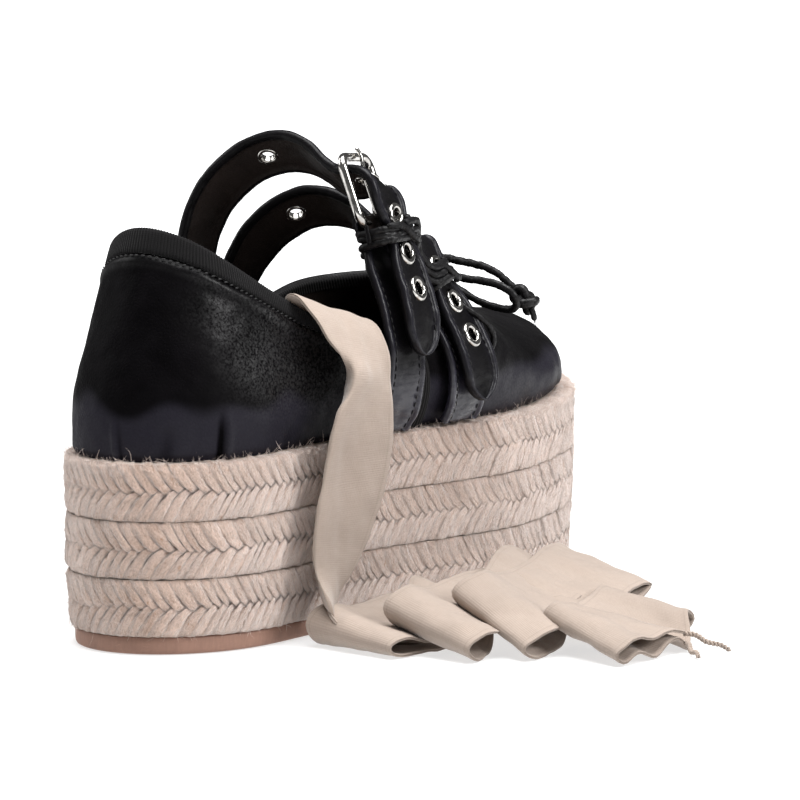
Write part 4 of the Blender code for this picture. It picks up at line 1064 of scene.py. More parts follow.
def outsole(ring):
    """The rubber outsole: a thin slab with rounded edges, and shallow waves across its tread.

    The tread's depth is a sine of the length, bent by a slower sine of the width, that fades out at the rim."""
    run = np.linspace(0, ring[2][-1], 480, endpoint=False)
    inset = 1.5 + taper(OUTSOLE_THICK)
    rows = ((inset + 2.2, 0), (inset + 1.2, 0.05), (inset + 0.5, 0.4), (inset + 0.15, 1), (inset, 1.8),
            (inset - 0.05, 3.4), (inset, OUTSOLE_THICK - GAP / 2 - 0.3), (inset + 0.3, OUTSOLE_THICK - GAP / 2))
    side = np.stack([along_side(run, inset, height, ring) for inset, height in rows])
    under = from_middle(side[0], TREAD_RINGS)
    share = np.arange(TREAD_RINGS)[:, None] / TREAD_RINGS
    x, y = under[..., 0], under[..., 1]
    wave = np.sin(y * TURN / 5.2 + 1.3 * np.sin(x * TURN / 17))
    fade = smoothstep(0, 0.12, share) * (1 - smoothstep(0.8, 0.9, share))
    groove = smoothstep(0.82, 0.86, share) * (1 - smoothstep(0.9, 0.94, share))
    under[..., 2] = spring(y) + fade * 0.45 * smoothstep(-0.2, 0.5, wave) + 0.6 * groove
    rings = np.concatenate([under, side, from_middle(side[-1], 3)[::-1]])
    return Skin().add(rings, TUBE, flip=True)


# ---- the upper


def upper_rows(angles, shares):
    """Outer face of the upper as a grid of ribs: shares is rows of angle by share, 0 at the sole, 1 at the top line."""
    low, top = feather(angles), top_line(angles)
    values = rib_values(angles)
    low_out, top_out = plan_normals(low[:, :2]), plan_normals(top[:, :2])
    along = np.stack([-low_out[:, 1], low_out[:, 0]], axis=1)
    shear = np.sum((top - low)[:, :2] * along, axis=1)[:, None] * along / 3
    up = np.array([0, 0, 1])
    flat = lambda plan: np.column_stack([plan, np.zeros(len(plan))])
    one = low + flat(shear + low_out * values[3][:, None]) + up * values[4][:, None]
    two = top - flat(shear - top_out * values[5][:, None]) - up * values[6][:, None]
    s = np.asarray(shares, float)[..., None]
    return low * (1 - s) ** 3 + 3 * one * s * (1 - s) ** 2 + 3 * two * s ** 2 * (1 - s) + top * s ** 3


class Wall:
    """The upper's outer face, ready to be read at any angle and at any length down from the top line."""

    def __init__(self, count=1440, rows=241):
        grid = upper_rows(circle(count), np.repeat(np.linspace(0, 1, rows)[:, None], count, axis=1))
        step = np.linalg.norm(np.diff(grid, axis=0), axis=2)
        self.rise = np.concatenate([np.zeros((1, count)), np.cumsum(step, axis=0)])
        self.fields = np.concatenate([grid, -grid_normals(grid, TUBE)], axis=-1)
        self.turns, self.rim = np.append(circle(count), TURN), run_of(looped(grid[-1]))

    def read(self, angles, rise, offset=0):
        """Point at an angle and a length up the leather from the sole, moved off it along its normal."""
        rows, count = self.rise.shape
        angles, rise = np.broadcast_arrays(np.asarray(angles, float) % TURN, rise)
        column = angles / TURN * count
        left = np.floor(column).astype(int) % count
        found = 0
        for k, weight in ((left, 1 - column % 1), ((left + 1) % count, column % 1)):
            row = np.clip(self.share_of(k, rise) * (rows - 1), 0, rows - 1.001)
            base = np.floor(row).astype(int)
            part = (row - base)[..., None]
            found = found + weight[..., None] * (self.fields[base, k] * (1 - part) + self.fields[base + 1, k] * part)
        return found[..., :3] + unit(found[..., 3:]) * np.asarray(offset, float)[..., None]

    def share_of(self, column, rise):
        """Share up the rib of a length up the leather: a search through the lengths run, all columns at once."""
        low, high = np.zeros(np.shape(rise)), np.ones(np.shape(rise))
        rows = len(self.rise) - 1
        for _ in range(14):
            middle = (low + high) / 2
            place = middle * rows
            base = np.minimum(np.floor(place).astype(int), rows - 1)
            length = self.rise[base, column] * (1 - place + base) + self.rise[base + 1, column] * (place - base)
            low, high = np.where(length < rise, middle, low), np.where(length < rise, high, middle)
        return (low + high) / 2

    def height(self, angles):
        """Length of leather from the sole to the top line."""
        return np.interp(np.asarray(angles) % TURN, self.turns, looped(self.rise[-1]))

    def angle_at(self, run):
        """Angle at a length run round the top line."""
        return np.interp(run, self.rim, self.turns)


def creases(angles, rise):
    """Height of the upper's folds, in millimetres: soft troughs and ridges that run up from the sole.

    Each is a bell across, leaning with height, and dies out towards its upper end."""
    field = np.zeros(np.shape(rise))
    for angle, lean, reach, width, depth in GATHERS:
        across = (np.degrees(angles) - angle + 180) % 360 - 180 - lean * rise / 10
        fall = 1 - smoothstep(0.25 * reach, reach, rise)
        field = field + fall * depth * (bell(across, 0, width) - 0.6 * bell(across, 1.9 * width, width))
    return field


def upper_skin(wall):
    """The shell of the upper: leather outside and lining inside, as one closed band round the foot."""
    count, rows = 540, 92
    angles = circle(count)
    total = wall.height(angles)
    stop = total - binding_depth(angles) - 0.1
    up = np.linspace(0, 1, rows)[:, None]
    rise = up * stop
    turn = angles + 0 * rise
    flat = wall.read(turn, rise)
    below = stop - rise
    swell = 0.75 * bell(below, 2.6, 2) - 0.5 * bell(below, 0, 0.9)
    tuck = -1.1 * bell(rise, 0, 1.6)
    slack = 0.3 * uneven(5, flat, 26) * smoothstep(2, 12, rise) + 0.07 * uneven(6, flat, 7)
    folds = creases(turn, rise)
    offset = swell + tuck + slack + folds
    outer = wall.read(turn, rise, offset)
    inner_rise = np.linspace(1, 0, 20)[:, None] * stop
    pushed = np.minimum(creases(angles + 0 * inner_rise, inner_rise), 0)
    inner = wall.read(angles + 0 * inner_rise, inner_rise, pushed - WALL)
    grid = np.concatenate([outer, inner])
    around = np.append(angles, TURN) * 90
    length = np.concatenate([rise, rise[-1:] + (rise[-1:] - inner_rise)])
    length = np.pad(np.concatenate([length, length[-1:] + WALL]), ((0, 0), (0, 1)), mode="wrap")
    uv = np.stack([around + 0 * length, length], axis=-1)
    kind = np.zeros((len(grid), count), int)
    kind[rows:] = 1
    degrees = np.degrees(turn)
    vamp = smoothstep(112, 150, flat[..., 1])
    # band: painted reflection of the floor over the lowest 14 to 20 mm of leather, cut back as painted shade in the
    # folds' troughs; it also adds gloss.
    band = (1 - smoothstep(13.5, 19.5, rise + 2.2 * uneven(8, flat, 26))) * np.clip(1 + 0.9 * folds, 0, 1)
    sheen = (1.4 * bell(degrees, 58, 16) * bell(rise, 31, 14) + 0.42 * bell(degrees, 34, 12) * bell(rise, 50, 11)
             + 0.4 * bell(degrees, 68, 12) * bell(rise, 44, 12))
    pebble = np.clip(1.8 * sheen, 0.15, 1)
    gloss = (0.02 + 0.95 * sheen + 0.5 * vamp + 0.25 * band
             + 0.5 * bell(below, 2.6, 1.8) * (1 - vamp) + 0.35 * folds * (1 - vamp))
    gloss = np.clip(gloss, 0, 1)
    pad = lambda field: np.concatenate([field, np.zeros(inner.shape[:2])])
    return Skin().add(grid, RING, uv, kind, flip=True, band=pad(band), gloss=pad(gloss), pebble=pad(pebble))


def binding_skin(wall):
    """The top line's edge: ribbed grosgrain folded over the rim at the heel and sides, a piped leather edge outside
    the vamp with the grosgrain inside it.

    Its profile runs up the outside, over the rim and down the inside. The ribs are a rounded wave of the length run
    round the rim."""
    ribs = round(wall.rim[-1] / RIB_PITCH)
    run = (np.arange(ribs)[:, None] + np.arange(6) / 6).ravel() / ribs * wall.rim[-1]
    angles = wall.angle_at(run)
    depth = binding_depth(angles)
    total = wall.height(angles)
    front = smoothstep(VAMP_START, VAMP_FULL, wall.read(angles, total)[:, 1])
    depth = depth * (1 - front) + VAMP_EDGE * front
    profile = [(1, -0.3, 0), (0.98, 0.25, 0), (0.8, 0.45, 0), (0.55, 0.5, 0), (0.3, 0.5, 0), (0.12, 0.45, 0),
               (0.02, 0.15, 0), (0, -0.5, 0), (0, -WALL + 0.5, 1), (0.02, -WALL - 0.15, 1), (0.12, -WALL - 0.45, 1),
               (0.3, -WALL - 0.5, 1), (0.6, -WALL - 0.5, 1), (0.85, -WALL - 0.5, 1), (0.97, -WALL - 0.3, 1),
               (1, -WALL + 0.2, 1)]
    rib = np.abs(np.sin(np.pi * np.arange(len(run)) / 6)) ** 0.7
    rows = []
    for share, offset, inside in profile:
        reach = np.where(inside > 0, np.maximum(depth, INSIDE_EDGE), depth)
        ribbed = 1 if inside else 1 - front
        sign = np.sign(offset + WALL / 2)
        puff = front * (1 - inside) * 0.9 * np.sin(np.pi * np.clip(1 - share, 0.02, 1))
        lift = 0.3 * (rib - 1) * ribbed
        top_lift = 0.35 * (1 - share) ** 6
        rows.append(wall.read(angles, total - share * reach + 0 * angles, offset + sign * lift + puff))
        rows[-1][:, 2] += top_lift + lift * bell(share, 0, 0.05)
    grid = np.stack(rows)
    across = run_of(grid.mean(axis=1))
    uv = pairs(np.append(across, across[-1] + 2), np.append(run, wall.rim[-1]))
    inside = np.array([row[2] for row in profile])[:, None]
    kind = ((front > 0.5) & (inside == 0)).astype(int)
    return Skin().add(grid, RING, uv, kind, flip=True)


def seam_tape(wall):
    """The ribbed tape over the side seam, from the rope to the top line: ribs run along it, and it leans to the heel.

    Its section is a flat band whose outer face carries a rounded wave across. Its lower end is drawn to a point, and
    its upper end is open under the binding."""
    up = np.linspace(0, 1, 60)[:, None]
    across = np.linspace(-1, 1, 43)[None]
    middle = np.radians(88.8 + 3.4 * up ** 1.2)
    angles = middle + np.radians(1.75) * across
    total = wall.height(angles)
    rise = 0.3 + (total - 3) * up
    outer = wall.read(angles, rise, 0.75 + 0.16 * np.cos(across * np.pi * 6) - 0.3 * across ** 6)
    inner = wall.read(angles[:, ::-1], rise[:, ::-1], -0.3)
    grid = np.concatenate([outer, inner], axis=1)
    grid = np.concatenate([shut(grid[:1]), grid])
    uv = np.stack(np.meshgrid(np.linspace(0, 8, grid.shape[1] + 1) * 2, np.arange(len(grid)) * 0.6), axis=-1)
    return Skin().add(grid, TUBE, uv, flip=True)


def rim_stitches(wall):
    """The row of stitches that runs below the binding, and below the piped edge over the vamp."""
    angles = wall.angle_at(np.arange(0, wall.rim[-1], RIM_STITCH))
    total = wall.height(angles)
    front = wall.read(angles, total)[:, 1] > VAMP_START + 2
    rise = total - np.where(front, VAMP_EDGE + 1.2, binding_depth(angles) + 0.9)
    along = unit(wall.read(angles + 0.003, rise) - wall.read(angles - 0.003, rise))
    out = unit(wall.read(angles, rise, 1) - wall.read(angles, rise))
    return Skin().add_many(dashes(wall.read(angles, rise, 0.62), along, out, 1.55, 0.55, 0.5), TUBE)


def insole_skin():
    """The insole: a slab with rounded edges whose top is a shallow dish, a quarter sine from the rim inwards."""
    angles, steps = circle(240), 24
    base = SOLE_TOP + GAP / 2
    levels = []
    for rise, inset in ((0, 0.6), (1.2, 0.4), (INSOLE_THICK - 0.4, 0.6), (INSOLE_THICK, 1.4)):
        plan = sole_outline(angles, down_length(FEATHER_INSET, angles) + WALL + inset)
        levels.append(np.column_stack([plan, base + rise + spring(plan[:, 1])]))
    rings = closed_slab(np.array(levels), steps)
    rings[-steps - 1:, :, 2] -= 0.8 * np.sin(np.linspace(0, np.pi / 2, steps + 1))[:, None]
    return Skin().add(rings, TUBE, flip=True)


# ---- straps, eyelets and buckles


def band_section(half, bead):
    """Across and out offsets round a band for each station: a round bead along each edge and a web between them,
    a little hollow beside the beads where the stitches draw it in."""
    half, bead = half[:, None], bead[:, None]
    web = np.minimum(STRAP_WEB / 2, bead * 0.75)
    meet = np.pi - np.arcsin(web / bead)
    centre = np.clip(half - bead, 0, None)
    turn = np.linspace(0, 1, BEAD_POINTS)[None] * meet
    edge_a, edge_n = centre + bead * np.cos(turn), bead * np.sin(turn)
    inner = np.clip(edge_a[:, -1:], 0, None)
    across = np.linspace(1, -1, 13)[1:-1][None]
    web_a = inner * across
    web_n = web * (1 + 0.25 * np.cos(across * np.pi / 2) - 0.12 * bell(np.abs(across), 0.83, 0.1))
    over_a = np.concatenate([edge_a, web_a, -edge_a[:, ::-1]], axis=1)
    over_n = np.concatenate([edge_n, web_n, edge_n[:, ::-1]], axis=1)
    under_a, under_n = -over_a[:, 1:-1], -over_n[:, 1:-1]
    return np.concatenate([over_a, under_a], axis=1), np.concatenate([over_n, under_n], axis=1), over_a.shape[1]


def strap_band(route, tip, seed, pinch, slim=None, outer=1):
    """A strap along its route: the band's section at each station, narrowed to a blunt point at its tail.

    The half width near the tip is a superellipse of the length left; round pinch, where the lace draws it in, it is
    narrowed by a bell of the length. outer is -1 where the route's out faces the foot."""
    end = route.length
    stops = np.arange(0, end - STRAP_TIP if tip else end, 0.9)
    if tip:
        stops = np.append(stops, end - STRAP_TIP * (1 - np.linspace(0, 1, 34)[1:] ** 0.6))
    left = np.clip((end - stops) / STRAP_TIP, 0, 1) if tip else np.ones(len(stops))
    halves = STRAP_WIDTH / 2 * (1 - (1 - left) ** 2.6) ** 0.62 * (1 - PINCH_SHARE * bell(stops, pinch, PINCH_REACH))
    beads = np.minimum(slim(stops) if slim else STRAP_BEAD * 1.15, np.maximum(halves, 0.02))
    halves = np.maximum(halves, beads)
    a, n, over = band_section(halves, beads)
    centre, _, across, out = route.frame(stops)
    out = out * outer
    grid = centre[:, None] + a[..., None] * across[:, None] + n[..., None] * out[:, None]
    soft = 0.16 * uneven(seed, grid, 11) + 0.05 * uneven(seed + 1, grid, 3.2)
    grid = grid + soft[..., None] * out[:, None]
    grid = np.concatenate([shut(grid[:1]), grid, shut(grid[-1:])])
    girth = run_of(np.column_stack([a[len(a) // 4], n[len(a) // 4]]))
    uv = pairs(np.pad(stops, 1, mode="edge"), np.append(girth, girth[-1] + 0.4))
    kind = np.zeros((len(grid) - 1, grid.shape[1]), int)
    kind[:, over + BEAD_POINTS - 3:3 - BEAD_POINTS] = 1
    edge = np.abs(np.arange(grid.shape[1]) - (over - 1) / 2)
    # gloss: painted highlight along each bead and painted reflection low on the base straps; it also raises the coat.
    gloss = 0.45 * bell(edge, (over - 1) / 2 - 5, 3.5) + (1 - smoothstep(74, 88, grid[..., 2]) if outer < 0 else 0)
    return Skin().add(grid, TUBE, uv, kind, flip=outer > 0, gloss=gloss)


def dashes(centre, along, up, length, width, height):
    """Sewing stitches: for each, a small pillow of four-sided faces that tapers into the leather at both ends."""
    t = np.linspace(-1, 1, 7)
    turn = circle(6)
    swell = np.sqrt(np.clip(1 - t ** 2 * 0.98, 0, 1))
    side = np.cross(along, up)
    ring = (t[:, None, None] * length / 2 * along[:, None, None]
            + (swell[:, None] * np.cos(turn) * width / 2)[..., None] * side[:, None, None]
            + (swell[:, None] * np.sin(turn) * height / 2 + (0.25 * height * (1 - t ** 2))[:, None])[..., None]
            * up[:, None, None])
    return centre[:, None, None] + ring


def strap_stitches(route, start, stop, outer, pinch):
    """Two rows of stitches on the web, just inside the beads, on the outer face."""
    at = np.arange(start, stop, STITCH)
    at = at[np.abs(at - pinch) > 9]
    centre, along, across, out = route.frame(at)
    out = out * outer
    rows = []
    for side in (-1, 1):
        where = side * (STRAP_WIDTH / 2 - 2 * STRAP_BEAD - 0.55)
        middle = centre + across * where + out * (STRAP_WEB / 2 + 0.06)
        rows.append(dashes(middle, along, out, STITCH * 0.72, 0.5, 0.36))
    return np.concatenate(rows)


def turned(profile, centre, axis, side, steps=32):
    """A profile of radius and height turned about an axis through a centre."""
    profile = np.asarray(profile, float)
    other = np.cross(axis, side)
    turn = circle(steps)
    ring = np.cos(turn)[:, None] * side + np.sin(turn)[:, None] * other
    return centre + profile[:, None, :1] * ring[None] + profile[:, None, 1:] * axis


def eyelet_profile():
    """Section of an eyelet: a domed flange on the outer face, a barrel through the web and a curled rim under it."""
    face = STRAP_WEB / 2 + 0.12
    dome = np.linspace(0, np.pi, 11)
    middle, reach = (EYELET_RADIUS + EYELET_HOLE - 0.3) / 2, (EYELET_RADIUS - EYELET_HOLE + 0.3) / 2
    over = np.column_stack([middle + reach * np.cos(dome), face + EYELET_DOME * 1.35 * np.sin(dome) ** 0.8])
    bore = EYELET_HOLE - 0.3
    curl = np.linspace(np.pi, 0, 9)
    under_middle, under_reach = bore + 0.7, 0.7
    under = np.column_stack([under_middle + under_reach * np.cos(curl), -face - 0.45 * np.sin(curl)])
    lip = [(bore + 1.3, -face + 0.15), (bore + 0.35, -face + 0.1), (bore + 0.35, face - 0.1),
           (EYELET_RADIUS - 0.05, face - 0.05)]
    return np.concatenate([over, under, lip])


def rounded_loop(share, centre, first, second, half_first, half_second, power=0.45):
    """Closed rounded rectangle: a superellipse in the plane of two directions, at a share of its turn."""
    turn = np.asarray(share) * TURN
    bent = lambda value: np.sign(value) * np.abs(value) ** power
    return (centre + bent(np.cos(turn))[:, None] * half_first * first
            + bent(np.sin(turn))[:, None] * half_second * second)


def outward(first, second):
    """The way square to two others that faces the shoe's outer side."""
    out = np.cross(first, second)
    return out if out[0] > 0 else -out


def buckle_skin(row):
    """The wire frame of a buckle and its prong, which grips the near bar and rests on the far one."""
    centre, down, across = buckle_frame(row)
    out = outward(across, down)
    across, out = 0.988 * across - 0.156 * out, 0.988 * out + 0.156 * across
    half = STRAP_WIDTH / 2 + BUCKLE_BAR + BUCKLE_SLACK - 0.5
    corner = rounded_rectangle(centre, down, across, BUCKLE_HALF_LENGTH, half, 4.2, 9)
    run = run_of(looped(corner))
    path = points_at(np.linspace(0, run[-1], 180, endpoint=False), run, looped(corner))
    for _ in range(2):
        path = (np.roll(path, 1, 0) + 2 * path + np.roll(path, -1, 0)) / 4
    frame_bar = rod(path, BUCKLE_BAR * 1.05, 20, out, closed=True)
    lift, reach = BUCKLE_BAR + PRONG_BAR + PRONG_CLEAR, BUCKLE_HALF_LENGTH
    rows = [centre + down * run + out * rise for run, rise in (
        (reach + 2.3, 0.2), (reach + 1.6, lift - 0.9), (reach - 0.6, lift - 0.3), (reach - 4, lift - 0.8),
        (0, lift - 1.2), (4.5 - reach, lift - 0.9), (0.2 - reach, lift - 0.3), (-reach - 2.2, lift - 0.9))]
    prong = rod(smooth_line(rows, 60), PRONG_BAR * np.linspace(1.15, 0.8, 60), 14, across, flat=0.8)
    ring = rounded_loop(np.arange(36) / 36, centre + down * reach, down, out, 2.35, 2.35, 1)
    hinge = rod(ring, 0.85, 12, across, closed=True, flat=1.5)
    frame = Skin().add(frame_bar, RING, rod_uv(looped(frame_bar)))
    return frame, Skin().add(prong, TUBE).add(hinge, RING)


# ---- laces: keepers and bow


def lace(path, radius=LACE / 2 * 1.12, seed=1, start=(0, 0, 1), closed=False):
    """Leather lace along a path: a slightly flattened round rod, wrinkled across where it bends."""
    grid = rod(path, radius, 14, start, closed, flat=0.92)
    middle = grid.mean(axis=1, keepdims=True)
    wrinkle = 1 + 0.06 * uneven(seed, grid, 1.5) + 0.06 * uneven(seed + 1, grid, 4)
    return middle + (grid - middle) * wrinkle[..., None]


class Keeper:
    """Where a keeper sits: its middle, its ways down the strap, across it and out of it, and its half sizes."""

    def __init__(self, row, tail, base):
        centre, down, _ = buckle_frame(row)
        middle = centre + down * (BUCKLE_HALF_LENGTH + KEEPER_DROP)
        (first, along, across, _), (second, back, other, _) = (
            [field[0] for field in route.frame(np.array([nearest_crossing(route, middle, down)]))]
            for route in (tail, base))
        way = unit(back - along)
        self.way = way if way[2] < 0 else -way
        self.wide = unit(square_to(across + other, self.way))
        self.thick = outward(self.wide, self.way)
        self.half_wide = STRAP_WIDTH / 2 * 0.66 + abs((first - second) @ self.wide) / 3 + LACE * 0.5
        self.half_thick = abs((first - second) @ self.thick) / 2 + STRAP_BEAD + LACE * 0.5 + 0.1
        self.heart = (first + second) / 2

    def at(self, wide, thick, way):
        """Point at lengths across the strap, out of it and down it from the middle."""
        return self.heart + self.thick * thick + self.wide * wide + self.way * way


def keeper_skin(keeper, seed):
    """The keeper: four wrinkled turns of lace round both straps, which climb and cross as a superellipse is wound,
    and one strand drawn slantwise over them."""
    skin = Skin()
    for start, stop, pitch, lift in ((0.1, 2, 2.15, 0), (1.96, 3.6, 2.2, 0.35)):
        turns = np.linspace(start, stop, 240)
        climb = (turns - 1.9) * pitch + 0.6 * np.sin(turns * 5.1 + seed) + 0.35 * np.sin(turns * 9.7 + seed)
        wave = 0.5 + 0.5 * np.sin(turns * 13 + seed)
        path = rounded_loop(turns, keeper.heart, keeper.thick, keeper.wide,
                            keeper.half_thick + lift + 0.3 * wave[:, None], keeper.half_wide + lift * 0.5, 0.55)
        skin.bar(lace(path + climb[:, None] * keeper.way, LACE / 2 * 1.1, seed, keeper.way))
    t = np.linspace(0, 1, 70)[:, None]
    slant = keeper.at((keeper.half_wide - 1.5) * (1 - 2 * t), keeper.half_thick + 1.9 * np.sin(np.pi * t) ** 0.5,
                      4.2 - 7.8 * t + 0.8 * np.sin(7 * t))
    return skin.bar(lace(slant, LACE / 2 * 1.05, seed + 5, keeper.thick))


def keeper_ties(rear, front):
    """Strands of lace drawn from the rear keeper to the front one, and one that runs down onto the vamp."""
    skin = Skin()
    for k, (side, drop) in enumerate(((2.5, -2.6), (0.5, 0.4), (-1.5, 3))):
        rows = [rear.at(4 - side, rear.half_thick + 1.4, drop),
                rear.at(rear.half_wide + 0.6, rear.half_thick - 0.4 + 0.5 * side, drop + 1),
                (rear.heart + front.heart) / 2 + rear.thick * (3.6 + 0.5 * side) + rear.way * drop * 0.8,
                front.at(-front.half_wide - 0.8, front.half_thick - 0.2 + 0.5 * side, drop * 0.8 - 1),
                front.at(-3, front.half_thick + 1.4, drop * 0.8)]
        skin.bar(lace(smooth_line(rows, 90), LACE / 2 * 1.05, 110 + k, rear.way))
    return skin.bar(lace(smooth_line(VAMP_STRAND, 90), LACE / 2 * 0.9, 120, (0, 1, 0)))


def trefoil(centre, size, first, second, third):
    """Path of an overhand knot: two turns round while the line weaves in and out three times."""
    t = circle(90)
    return (centre + size * (np.sin(t) + 2 * np.sin(2 * t))[:, None] / 3 * first
            + size * (np.cos(t) - 2 * np.cos(2 * t))[:, None] / 3 * second
            - size * 0.45 * np.sin(3 * t)[:, None] * third)


def knot_skin(middle, side, way, up, seed):
    """The overhand knot of a tail, the thin end that leaves it and the fibres of its cut."""
    skin = Skin().add(lace(trefoil(middle, 4.4, side, way, up), LACE / 2 * 1.4, seed + 1, up, closed=True), RING)
    t = np.linspace(0, 1, 26)[:, None]
    end = middle + way * (1 + 5.4 * t) - up * 2.6 * t ** 1.6 + side * 0.8 * np.sin(3 * t)
    skin.add(lace(end, LACE / 2 * (1 - 0.25 * t[:, 0]), seed + 2, up), TUBE)
    ahead = np.repeat(way[None], 3, 0)
    return skin.add_many(loose_fibres(seed, end[-3:], ahead, ahead, 16, 1.5, 4, 2.2, 0.16, 1), ROLL)


# ---- the tie


def tape_lines():
    """The tie's front and rear selvedges and the fold between them, from inside the shoe to the cut end."""
    rows = [*TAPE_BAND, *TAPE_FOLDS]
    near, far = (np.array([row[k:k + 3] for row in rows], float) for k in (0, 3))
    bend = near * (1 - FOLD_SHARE) + far * FOLD_SHARE
    for k, row in enumerate(TAPE_BAND):
        bend[k] = row[6:] or bend[k]
    return near, far, bend


def tape_skin():
    """The tie as a closed strip of cloth: its selvedges and its fold are splines through their rows.

    Across, the cloth is a straight line between the selvedges plus a rounded tent whose peak lies on the fold, with a
    soft crown and uneven waves. Each edge has a groove along it, where the woven selvedge turns back on itself."""
    near, far, bend = tape_lines()
    chord = run_of((near + far) / 2)
    fine = np.linspace(0, chord[-1], 2000)
    lines = [spline_points(chord, line, fine) for line in (near, far, bend)]
    run = run_of((lines[0] + lines[1]) / 2)
    even = np.linspace(0, run[-1], TAPE_STEPS)
    near, far, bend = (points_at(even, run, line) for line in lines)
    v = np.linspace(0, 1, 33)[None]
    tent = -np.log(np.exp(-9 * v / FOLD_SHARE) + np.exp(-9 * (1 - v) / (1 - FOLD_SHARE)) + np.exp(-9)) / 9 / 0.88
    lift = (bend - near * (1 - FOLD_SHARE) - far * FOLD_SHARE)[:, None]
    grid = near[:, None] * (1 - v[..., None]) + far[:, None] * v[..., None] + tent[..., None] * lift
    normal = grid_normals(grid)
    crown = 0.4 * uneven(71, grid, 24) * np.sin(np.pi * v) + 0.14 * uneven(72, grid, 9)
    crown = crown + 0.8 * bell(v, 0.33, 0.12) * bell(even, 78, 26)[:, None]
    grid = grid + crown[..., None] * normal
    grid[..., 2] = np.maximum(grid[..., 2], TAPE_THICK / 2 + 0.1)
    half = TAPE_THICK / 2 * (1 + 0.25 * (bell(v, 0.03, 0.02) + bell(v, 0.97, 0.02)))[..., None] * normal
    width = np.linalg.norm(np.diff(grid, axis=1), axis=2).sum(axis=1).mean()
    rims = []
    for edge, way in ((-1, unit(grid[:, -1] - grid[:, -2])), (0, unit(grid[:, 0] - grid[:, 1]))):
        sign = 1 if edge else -1
        rims.append(np.stack([grid[:, edge] + half[:, edge] * rise * sign + way * out for rise, out in (
            (0.85, 0.2), (0.3, 0.2), (0, -0.25), (-0.3, 0.2), (-0.85, 0.2))], axis=1))
    skin = np.concatenate([grid + half, rims[0], (grid - half)[:, ::-1], rims[1]], axis=1)
    flat = np.concatenate([grid, np.repeat(grid[:, -1:], 5, 1), grid[:, ::-1], np.repeat(grid[:, :1], 5, 1)], axis=1)
    skin = np.concatenate([flat[:1], skin, flat[-1:]])
    across = np.concatenate([v[0], np.full(5, 1.02), v[0, ::-1], np.full(6, -0.02)]) * width
    uv = pairs(np.pad(even, 1, mode="edge"), across)
    return Skin().add(skin, TUBE, uv, flip=True), even[-1], width


def tape_threads():
    """Frayed threads: each is two fine plies wound about one line, the radius of the winding falling to nothing."""
    skin = Skin()
    for k, rows in enumerate(TAPE_THREADS):
        line = smooth_line(rows, 120)
        along, one, two = transport(line, (0, 0, 1))
        turn = run_of(line)[:, None] * TURN / 2.6
        for shift in (0, np.pi):
            ply = line + 0.45 * (np.cos(turn + shift) * one + np.sin(turn + shift) * two)
            skin.bar(rod(ply, 0.5 * (1 - 0.35 * np.linspace(0, 1, 120) ** 3), 8))
        skin.add_many(loose_fibres(90 + k, line[-20:], along[-20:], along[-20:], 26, 1, 3, 0.7, 0.05), ROLL)
    return skin


# ---- settings


def colour(name, description, value):
    return bpy.props.FloatVectorProperty(name=name, description=description, default=value, subtype="COLOR",
                                         min=0, max=1)


class ShoeSizes(bpy.types.PropertyGroup):
    strand_pitch: bpy.props.FloatProperty(name="Strand pitch", description="One strand of the braid, in millimetres",
                                          default=STRAND_PITCH, min=2, max=9)
    strand_depth: bpy.props.FloatProperty(name="Strand depth", description="Gap between strands, in millimetres",
                                          default=STRAND_DEPTH, min=0.2, max=3)
    loose_fibres: bpy.props.IntProperty(name="Loose fibres", description="Jute fibres that stand off the sole",
                                        default=8000, min=0, max=9000)


class ShoeColours(bpy.types.PropertyGroup):
    leather: colour("Leather", "Colour of the upper and straps", (0.0022, 0.0019, 0.0023))
    lining: colour("Lining", "Colour of the lining and the straps' undersides", (0.013, 0.0088, 0.0074))
    grosgrain: colour("Grosgrain", "Colour of the ribbed binding", (0.0055, 0.0052, 0.0055))
    jute: colour("Jute", "Light colour of the braid", (0.67, 0.5, 0.415))
    jute_shade: colour("Jute shade", "Dark colour of the braid", (0.43, 0.275, 0.2))
    rubber: colour("Rubber", "Colour of the outsole", (0.27, 0.155, 0.115))
    nickel: colour("Nickel", "Colour of buckles and eyelets", (0.66, 0.64, 0.61))
    tape: colour("Tape", "Colour of the tie", (0.355, 0.288, 0.243))


def sizes():
    return bpy.context.scene.shoe_sizes


FINISHES = {}
MAKERS = {
    "jute": (jute_finish, "jute", "jute_shade"), "fibre": (fibre_finish, "jute"), "nappa": (nappa_finish, "leather"),
    "strap": (strap_finish, "leather"), "lining": (lining_finish, "lining"), "lace": (lace_finish, "leather"),
    "grosgrain": (grosgrain_finish, "grosgrain"), "rubber": (rubber_finish, "rubber"),
    "nickel": (nickel_finish, "nickel"), "thread": (thread_finish, "grosgrain"), "tape": (tape_finish, "tape")}


def finish(name):
    """The named finish, made once from its colours."""
    if name not in FINISHES:
        maker, *keys = MAKERS[name]
        FINISHES[name] = maker(*[tuple(getattr(bpy.context.scene.shoe_colours, key)) for key in keys])
    return FINISHES[name]


def piece(skin, name, materials, slot, *nodes, **how):
    """Make a piece from a skin, with its materials, in place of the named nodes; slot is not used."""
    obj = skin.make(name, [finish(material) for material in materials], **how)
    if nodes:
        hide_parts(*nodes)
    return obj


def aimed(data, place, aim):
    """A lamp or a camera at a place, turned towards its aim."""
    obj = bpy.data.objects.new(data.name, data)
    obj.location = place
    obj.rotation_euler = (Vector(aim) - Vector(place)).to_track_quat("-Z", "Y").to_euler()
    bpy.context.scene.collection.objects.link(obj)
    return obj


# ---- operators


